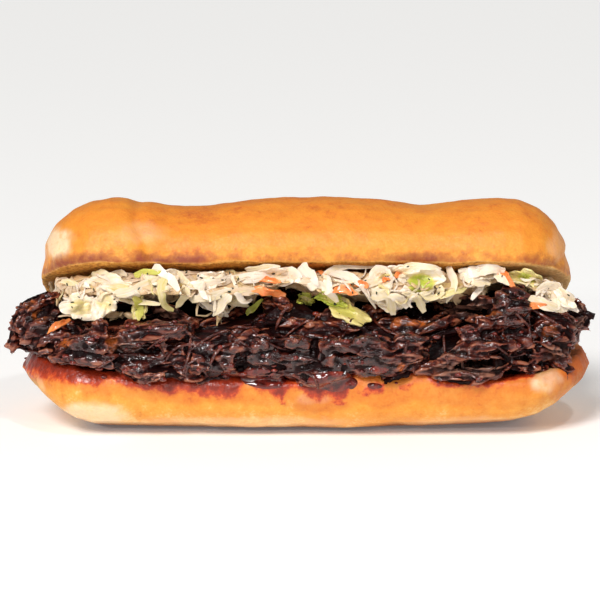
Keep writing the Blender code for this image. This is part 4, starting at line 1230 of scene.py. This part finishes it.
slawValues = {
    "seed": 8,
    "fillStrips": 360,
    # how low the slaw hangs over the meat in the front view: x and height in mm
    "lowerEdge": ((-95, 40), (-80, 37.5), (-62, 36.5), (-53, 37), (-51, 42), (-47, 41.5), (-39, 40),
                  (-37, 37.5), (-26, 38), (-23, 40), (-16, 41.5), (-11, 44), (-2, 46), (6, 42.5),
                  (16, 36), (21, 36), (25, 41), (30, 39.5), (33, 41.5), (41, 40), (44, 43), (58, 44),
                  (63, 48.5), (70, 48), (76, 43.5), (86, 40), (95, 39.5)),
    "fillCarrots": 10,
    "topShreds": 110,
    "flecks": 60,
    # cabbage strips seen from the front: places (x, height) in mm, width in mm, greenness
    "strips": (
        (((-79.7, 50), (-75.7, 49.3), (-71.7, 47.7)), 2.2, 0.2),
        (((-71.3, 47.7), (-68, 50.3), (-59.3, 50.7)), 4, 0.1),
        (((-63, 52), (-60.7, 53), (-57.7, 52)), 2.2, 0.1),
        (((-61.7, 45.7), (-55.3, 47.3), (-46.7, 51.7)), 3.4, 0.1),
        (((-55.3, 52), (-51.3, 53), (-46.7, 53)), 2.4, 0.7),
        (((-49, 54.7), (-44, 51.3), (-39.7, 45.7)), 3.2, 0),
        (((-42.7, 53.3), (-39.3, 51), (-36, 47.3)), 3.4, 0.1),
        (((-45, 50.7), (-46.7, 46.3), (-45.7, 42.3), (-42.3, 40.3)), 3, 0.35),
        (((-38.3, 48.3), (-39, 44.3), (-41.3, 41)), 3, 0.2),
        (((-60.7, 44), (-54, 43), (-46.7, 42.3)), 2.6, 0.15),
        (((-55.3, 45), (-53.7, 41), (-54, 36.7)), 3.4, 0.6),
        (((-37.7, 49), (-28.7, 49.3), (-20, 52.3)), 3.6, 0),
        (((-37, 43.7), (-30, 45), (-23, 47.7)), 3, 0.1),
        (((-34.3, 45.7), (-29.7, 42), (-24, 38.3)), 3.6, 0.05),
        (((-23.7, 45.7), (-26, 42.3), (-29, 38.3)), 3.4, 0.05),
        (((-26, 44), (-21.3, 43), (-17.3, 41.7)), 3, 0.2),
        (((-18.3, 39), (-15.7, 41.3), (-12.7, 44)), 2.2, 0.75),
        (((-21.7, 51.3), (-14, 51), (-4, 54)), 3.8, 0),
        (((-21.7, 46.3), (-18.7, 43), (-16.3, 44)), 2.4, 0),
        (((-7.7, 52.7), (-3.7, 53.3), (0.7, 51.3)), 3.6, 0),
        (((0, 55), (3, 52.3), (6, 48.7)), 4, 0),
        (((7, 52), (14.7, 54.7), (24.7, 54.7)), 2.6, 0.1),
        (((9, 51.7), (9, 47.7), (12.3, 43)), 3.6, 0.05),
        (((10.3, 52.7), (18.7, 50), (22.3, 46), (25, 41)), 2.8, 0),
        (((2.7, 47.7), (5.3, 49), (8.7, 47.3)), 3, 0.1),
        (((22.7, 51.3), (27, 53.7), (31, 50)), 4, 0),
        (((23.7, 46.3), (29.3, 44.7), (31, 38.7)), 4.4, 0.15),
        (((35.7, 46.3), (38.7, 44), (41.3, 39.7)), 3.2, 0.2),
        (((30.3, 45.7), (33.3, 43.7), (35.7, 41.3)), 3.4, 0.1),
        (((48.3, 55.3), (51.7, 56.7), (55.3, 56)), 2.6, 0.1),
        (((49.7, 55), (51.3, 49), (48.7, 42.7)), 3, 0.1),
        (((47.3, 48.3), (46, 45.7), (44, 43.7)), 2.4, 0.2),
        (((53, 52), (58, 50), (63.3, 49.3)), 3.2, 0.1),
        (((61.3, 50.3), (59.3, 47), (57, 43.7)), 2.4, 0),
        (((55.3, 52), (61.7, 54.3), (68, 53.3)), 4.2, 0),
        (((64.7, 52.7), (66.7, 51), (69.7, 48.7)), 2.6, 0.05),
        (((78.7, 47), (83, 49), (87.3, 45), (92.7, 39.7)), 4.6, 0),
        (((76.3, 44.7), (82, 42), (88.7, 39.7)), 4, 0.1),
        (((85.3, 49.3), (86.7, 44.3), (88.7, 40)), 3.6, 0),
        (((-18, 53.7), (-12.7, 54.3), (-6.7, 55)), 2.6, 0.1),
        (((33.3, 53.7), (40, 55), (46.7, 54.3)), 3, 0.1),
        (((46.7, 45), (50.7, 46.3), (55.3, 47.7)), 2.4, 0.3),
        (((40, 46.3), (43.3, 44.3), (48, 46.3)), 2.6, 0.2),
        (((-31.7, 49.3), (-33.3, 47), (-30.7, 43.7)), 2.4, 0),
        (((-69.3, 51.7), (-66.7, 53), (-63.3, 52.3)), 2, 0.2),
    ),
    "carrots": (
        (((-14.7, 48), (-10, 46.3), (-5.3, 45.3)), 3.2),
        (((11, 47.3), (15, 47), (19.3, 45.7)), 3),
        (((18.7, 49.3), (20.7, 49), (22.7, 48)), 2.4),
        (((31, 51.3), (34.3, 53.3), (38, 54.7)), 2.6),
        (((67.3, 53.3), (69, 50.7), (71.3, 48)), 2.8),
        (((-84, 33.7), (-80.7, 35), (-77, 37)), 2.2),
        (((76.7, 42.3), (80.3, 41.7), (84.3, 41.3)), 2.2),
        (((27.3, 49.7), (28.7, 50.7), (30, 50.3)), 1.6),
        (((-12.7, 50.7), (-10, 50), (-6.7, 49.7)), 2),
    ),
    # middle (x, height), width and height in mm, turn in degrees, greenness at the rim and in the
    # middle, seed
    "leaves": (
        ((-73.3, 41.3), 13.3, 10.0, 10, 0.05, 0.30, 1.0),
        ((-65.3, 43.0), 10.0, 10.7, -20, 0.05, 0.25, 2.0),
        ((-53.7, 41.0), 5.2, 9.0, 8, 0.35, 0.55, 3.0),
        ((15.0, 40.3), 16.0, 8.2, -30, 0.40, 0.62, 4.0),
        ((10.0, 44.0), 11.6, 4.2, -12, 0.95, 0.55, 5.0),
        ((40.0, 49.3), 17.0, 11.6, 4, 0.02, 0.95, 6.0),
        ((75.3, 51.0), 11.0, 6.2, -18, 0.35, 0.85, 7.0),
        ((85.0, 44.8), 16.0, 7.6, -32, 0.03, 0.10, 17.0),
        ((-29.0, 42.0), 11.0, 6.0, -30, 0.03, 0.12, 18.0),
        ((26.0, 49.0), 9.6, 9.0, 30, 0.05, 0.10, 8.0),
        ((1.7, 44.0), 7.0, 3.8, -10, 0.80, 0.35, 9.0),
        ((31.0, 43.6), 13.0, 7.0, 4, 0.05, 0.18, 10.0),
        ((33.3, 53.3), 11.0, 5.0, 8, 0.05, 0.12, 11.0),
        ((-9.0, 51.6), 15.0, 6.4, 6, 0.02, 0.10, 12.0),
        ((-30.0, 50.2), 13.0, 5.6, 14, 0.02, 0.10, 13.0),
        ((-46.0, 50.5), 11.0, 8.4, -24, 0.05, 0.30, 14.0),
        ((60.0, 52.6), 14.0, 5.6, 4, 0.02, 0.08, 15.0),
        ((-60.0, 47.4), 13.0, 5.6, -6, 0.05, 0.25, 16.0),
    ),
    "core": {"voxel": 0.9 * mm, "sunk": 1.8 * mm, "folds": ((3.4 * mm, 0.9 * mm), (1.5 * mm, 0.35 * mm))},
}


def streaksFor(template, copies, draw):
    # where each point lies along and across its strip, with a different start for each strip
    starts = np.repeat([draw.uniform(0, 50) for _ in range(copies)], len(template))
    return np.tile(template[:, 0], copies), np.tile(template[:, 1], copies), starts


def ribbonTemplate(seed):
    # a cut strip of cabbage: flat, with a firm edge and slightly uneven sides
    ribbon, points = slicedTube(8, (0.05, 0.16, 0.3, 0.44, 0.56, 0.7, 0.84, 0.95))
    along = points[:, 0]
    points[:, 1] = 0.5 * np.sign(points[:, 1]) * np.abs(2 * points[:, 1]) ** 0.7
    points[:, 2] = 0.5 * np.sign(points[:, 2]) * np.abs(2 * points[:, 2]) ** 0.6
    rng = np.random.default_rng(int(seed))
    waist = np.interp(along, np.linspace(0, 1, 7), rng.uniform(0.72, 1.15, 7))
    sway = np.interp(along, np.linspace(0, 1, 6), rng.uniform(-0.14, 0.14, 6))
    # one end runs out to a torn point, the other is cut at an angle
    narrowing = (0.7, 0.95, 1, rng.uniform(0.6, 1), rng.uniform(0.05, 0.45))
    waist *= np.interp(along, (0, 0.08, 0.3, 0.75, 1), narrowing)
    points[:, 1] = points[:, 1] * waist + sway
    points[:, 2] *= np.interp(along, (0, 0.1, 0.8, 1), (0.6, 1, 0.8, 0.4))
    points[:, 2] += 3.2 * points[:, 1] ** 2
    points[:, 2] += 0.35 * np.sin(along * rng.uniform(5, 11) + rng.uniform(0, 6))
    points[:, 0] += rng.uniform(-0.3, 0.3) * points[:, 1] * (1 - along)
    putPoints(ribbon, points)
    return templateFrom(ribbon)


def layLeaf(pile, index, place, width, height, turn, rim, heart, seed):
    # a leaf let down on the heap from the front, torn to an angular outline and ruffled at its rim
    bpy.ops.mesh.primitive_grid_add(x_subdivisions=26, y_subdivisions=20, size=2)
    leaf = bpy.context.object
    leaf.name = "cabbageLeaf" + str(index)
    lobes = ((0.16, 2, seed * 1.7), (0.12, 3, seed * 2.9), (0.09, 5, seed * 4.1), (0.05, 9, seed))
    x, h, u, v, reach = spreadSheet(leaf, place, (width, height), turn, 0.92, lobes)
    rays = [frontRay(*spot)[1] for spot in zip(x, h)]
    depths = np.full(len(x), np.nan)
    for i, way in enumerate(rays):
        hit = pile["tree"].ray_cast(eye, way)
        if hit[0] is not None and hit[0].y < 10 * mm:
            depths[i] = hit[3]
    known = ~np.isnan(depths)
    nearest = np.nanmin(depths)
    depths = np.where(known, np.minimum(depths, nearest + 7 * mm), nearest + 2.5 * mm)
    depths = smoothOver(leaf, depths, 16)
    level = np.full(len(u), seed)
    ruffle = noiseField(np.stack([u * 1.6, v * 1.6, level], axis=1), 1.0, seed)
    crinkle = noiseField(np.stack([u * 4.5, v * 4.5, level], axis=1), 1.0, seed + 3)
    lift = 0.9 + 1.5 * reach**2 * (ruffle + 0.25) + 0.5 * reach * crinkle + 0.35 * crinkle
    putPoints(leaf, insideBox(np.array(eye) + np.array(rays) * (depths - lift * mm)[:, None]))
    towardRim = smoothStep(0.42, 0.62, np.hypot(u, v))
    green = heart * (1 - towardRim) + rim * towardRim
    for name, values in (("green", green), ("along", u * 0.8), ("across", v * 0.8), ("start", level)):
        giveAttribute(leaf, name, values)
    finishSheet(leaf, 0.55 * mm, 0, 50)
    addToPile(pile, pointsOf(leaf), facesOf(leaf))
    return leaf


def shapeSlawCore(values):
    # the heap under the strips: sunk, with small folds, and tucked back at its foot
    core = copyOfNode("coleslaw", "slawCore")
    applyModifier(core, "REMESH", mode="VOXEL", voxel_size=values["core"]["voxel"], adaptivity=0)
    points, normals = pointsOf(core), normalsOf(core)
    change = np.full(len(points), -values["core"]["sunk"])
    for number, (size, height) in enumerate(values["core"]["folds"]):
        change += height * noiseField(points, size, 5.0 + number)
    points += normals * change[:, None]
    across, high = inFrontView(points)
    foot = np.maximum(alongRoll(across, values["lowerEdge"]) + 2, 43.5)
    tuck = smoothStep(2.0, -0.5, high - foot) * smoothStep(5 * mm, -5 * mm, points[:, 1])
    points += np.outer(tuck, (0, 10 * mm, 1 * mm))
    putPoints(core, insideBox(points))
    smoothShade(core)
    giveAttribute(core, "green", 0.12 + 0.10 * noiseField(pointsOf(core), 5 * mm, 3.0))
    giveAttribute(core, "deep", np.ones(len(points)))
    # painted shade: the heap under the strips gets the full darker tone
    return core


def buildSlaw(pile, values):
    draw = random.Random(values["seed"])
    core = shapeSlawCore(values)
    addToPile(pile, pointsOf(core), facesOf(core))
    settle(pile)

    heapTree = startPile(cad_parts["brisket"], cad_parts["coleslaw"])["tree"]
    ribbons = [ribbonTemplate(seed) for seed in range(1, 8)]
    strips, greens, carrots = [], [], []
    ribbonFaces = ribbons[0][1]

    def addStrip(path, facing, width, thickness, green, roll, twist, into, bounded=False):
        # a bounded strip that would hang below the heap's lower edge is left out
        template = draw.choice(ribbons)[0]
        bent = insideBox(bendAlong(template, path, facing, width, thickness, roll, twist))
        across, high = inFrontView(bent)
        if bounded and np.any((high < alongRoll(across, values["lowerEdge"])) & (bent[:, 1] < 0)):
            return
        into.append(bent)
        if into is strips:
            greens.append(green)
        addToPile(pile, bent, ribbonFaces)

    def fill(amount, into, widths, lengths):
        places = exposedPlaces("coleslaw", (rollTree, brisketTree), amount, draw, 1.2 * mm)
        places += exposedPlaces("coleslaw", (rollTree, brisketTree), amount // 6, draw, 0.6 * mm, True)
        for count, (start, outward) in enumerate(places):
            heading = headingOn(outward, draw.uniform(-1.5, 1.5))
            width, thickness = draw.uniform(*widths) * mm, draw.uniform(0.32, 0.6) * mm
            path, facing = layFromSide(
                pile, start, outward, heading, draw.uniform(*lengths) * mm, draw.uniform(-2.5, 2.5) * mm,
                thickness * 0.6, (slawTree, 0.3 * mm))
            if path is None:
                continue
            green = max(0.0, draw.gauss(0.08, 0.14))
            addStrip(evenPath(path, 12), facing[:1].repeat(12, axis=0), width, thickness, green,
                     draw.uniform(-0.7, 0.7), draw.uniform(-1.2, 1.2), into, True)
            if count % 25 == 24:
                settle(pile)
        settle(pile)

    fill(values["fillStrips"], strips, (0.9, 3.0), (5, 13))
    deepStrips = len(strips)
    fill(values["fillCarrots"], carrots, (1.2, 1.8), (5, 9))
    leaves = []
    for index, leafValues in enumerate(values["leaves"]):
        leaves.append(layLeaf(pile, index, *leafValues))
        settle(pile)
    for places, width in values["carrots"]:
        path, facing = layFromFront(pile, places, 0.8 * mm, (heapTree, 1.2 * mm))
        if path is not None:
            addStrip(evenPath(path, 12), evenPath(facing, 12), width * mm, 1.5 * mm, 0,
                     draw.uniform(-0.4, 0.4), draw.uniform(-0.5, 0.5), carrots)
    settle(pile)
    for number, (places, width, green) in enumerate(values["strips"]):
        path, facing = layFromFront(pile, places, 0.7 * mm, (heapTree, 1.5 * mm))
        if path is None:
            continue
        addStrip(evenPath(path, 14), evenPath(facing, 14), width * mm, draw.uniform(0.42, 0.65) * mm, green,
                 draw.uniform(-0.45, 0.45), draw.uniform(-0.8, 0.8), strips)
        if number % 9 == 8:
            settle(pile)
    settle(pile)
    fill(values["topShreds"], strips, (0.6, 1.5), (4, 10))

    # painted shade: the strips laid first, under the others, get a darker tone
    deep = [0.8 if number < deepStrips else 0.0 for number in range(len(strips))]
    cabbage = bentCopies("cabbageStrips", strips, ribbonFaces, {"green": greens, "deep": deep})
    carrot = bentCopies("carrotStrips", carrots, ribbonFaces)
    for obj, copies in ((cabbage, len(strips)), (carrot, len(carrots))):
        for name, values in zip(("along", "across", "start"), streaksFor(ribbons[0][0], copies, draw)):
            giveAttribute(obj, name, values)
        smoothShade(obj, 40)
    return core, cabbage, carrot, leaves


slawCore, cabbageStrips, carrotStrips, cabbageLeaves = buildSlaw(brisketPile, slawValues)


def buildFlecks(pile):
    # ground pepper and bits of herb stuck to the dressing
    draw = random.Random(slawValues["seed"] + 1)
    bpy.ops.mesh.primitive_ico_sphere_add(subdivisions=1, radius=0.5)
    template, faces = templateFrom(bpy.context.object)
    places = np.concatenate([pointsOf(obj) for obj in (cabbageStrips, *cabbageLeaves)])
    copies = []
    while len(copies) < slawValues["flecks"]:
        at = Vector(places[draw.randrange(len(places))])
        if at.y > 0 or at.z < 33 * mm:
            continue
        way = (at - eye).normalized()
        hit = pile["tree"].ray_cast(eye, way)
        if hit[0] is None or (hit[0] - at).length > 1.5 * mm:
            continue
        size = draw.uniform(0.4, 1.0) * mm
        turn = Matrix.Rotation(draw.uniform(0, 6.3), 3, "Y") @ Matrix.Rotation(draw.uniform(0, 6.3), 3, "X")
        shape = template * np.array((1.5, 1.0, 0.6)) * size
        copies.append(shape @ np.array(turn) + np.array(hit[0] - way * size * 0.15))
    return bentCopies("pepperFlecks", copies, faces)


pepperFlecks = buildFlecks(brisketPile)


cabbageLook = {
    "patterns": {"veins": (1.6 * mm, 3, 0.55, 1, 0), "blotches": (5 * mm, 2, 0.55, 1, 0)},
    # from the white heart to the green outer leaf
    "cabbage": ((0.0, "#efdcc6"), (0.22, "#e6cfa0"), (0.42, "#d8c67a"), (0.66, "#cfc85e"), (1.0, "#afb944")),
    # painted shade deep in the heap
    "deep": "#c6955a",
}


def cabbageMaterial(look):
    # raw cabbage in a thin creamy dressing: moist, a little translucent, paler on its ribs
    material, tree, patterns, measures = startMaterial("dressedCabbage", look["patterns"], (
        "green", "deep", "along", "across", "start"))
    veins, blotches = patterns
    green, deep, along, across, start = measures

    # ribs that run along each strip
    lengthwise, crosswise = sumOf(tree, 0, (along, 1.6)), sumOf(tree, 0, (across, 7.0))
    onStrip = addNode(tree, "CombineXYZ", None, (lengthwise, crosswise, start))
    ribs = addNode(tree, "TexNoise", None, {
        "Vector": onStrip,
        "Scale": 1.0,
        "Detail": 2.0,
        "Roughness": 0.5,
    })
    tone = sumOf(tree, -0.5, (green, 1), (blotches, 0.28), (veins, 0.22), (ribs, 0.5), limited=True)
    colour = addNode(tree, "ValToRGB", {"stops": look["cabbage"]}, (tone,))
    # painted shade: deeper in the heap the colour is mixed toward a warm darker tone
    colour = addNode(tree, "Mix", {"data_type": "RGBA"}, (sumOf(tree, 0, (deep, 0.6)), colour, look["deep"]))
    height = sumOf(tree, 0, (veins, 0.5), (ribs, 1))
    bump = addNode(tree, "Bump", None, {"Strength": 0.6, "Distance": 0.4 * mm, "Height": height})
    return finishMaterial(material, tree, {
        "Base Color": colour,
        "Roughness": 0.38,
        "Normal": bump,
        "IOR": 1.42,
        "Subsurface Weight": 0.22,
        "Subsurface Radius": (1.6 * mm, 1.4 * mm, 0.8 * mm),
        "Subsurface Scale": 1.0,
        "Coat Weight": 0.3,
        "Coat Roughness": 0.15,
    })


def moistMaterial(name, darker, lighter, size, roughness, translucent):
    material, tree, patterns, _ = startMaterial(name, {"mottle": (size, 3, 0.55, 1, 0)})
    colour = addNode(tree, "ValToRGB", {"stops": ((0.3, darker), (0.7, lighter))}, patterns)
    return finishMaterial(material, tree, {
        "Base Color": colour,
        "Roughness": roughness,
        "Subsurface Weight": translucent,
        "Subsurface Radius": (1.4 * mm, 0.7 * mm, 0.3 * mm),
        "Subsurface Scale": 1.0,
        "Coat Weight": 0.3,
    })


cabbage = cabbageMaterial(cabbageLook)
# shredded carrot, juicy orange, glows a little in the light
carrotFlesh = moistMaterial("shreddedCarrot", "#ec7430", "#ffa060", 1.5 * mm, 0.35, 0.25)
# pepper and dried herb, nearly black against the cream
pepper = moistMaterial("groundPepper", "#17140f", "#3d4220", 0.5 * mm, 0.6, 0.0)
for piece, material in ((slawCore, cabbage), (cabbageStrips, cabbage), (carrotStrips, carrotFlesh),
                        (pepperFlecks, pepper), *((leaf, cabbage) for leaf in cabbageLeaves)):
    piece.data.materials.clear()
    piece.data.materials.append(material)
    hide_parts("coleslaw")
    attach(piece, "root")
print("stage: coleslaw ready", len(cabbageStrips.data.polygons), "faces")
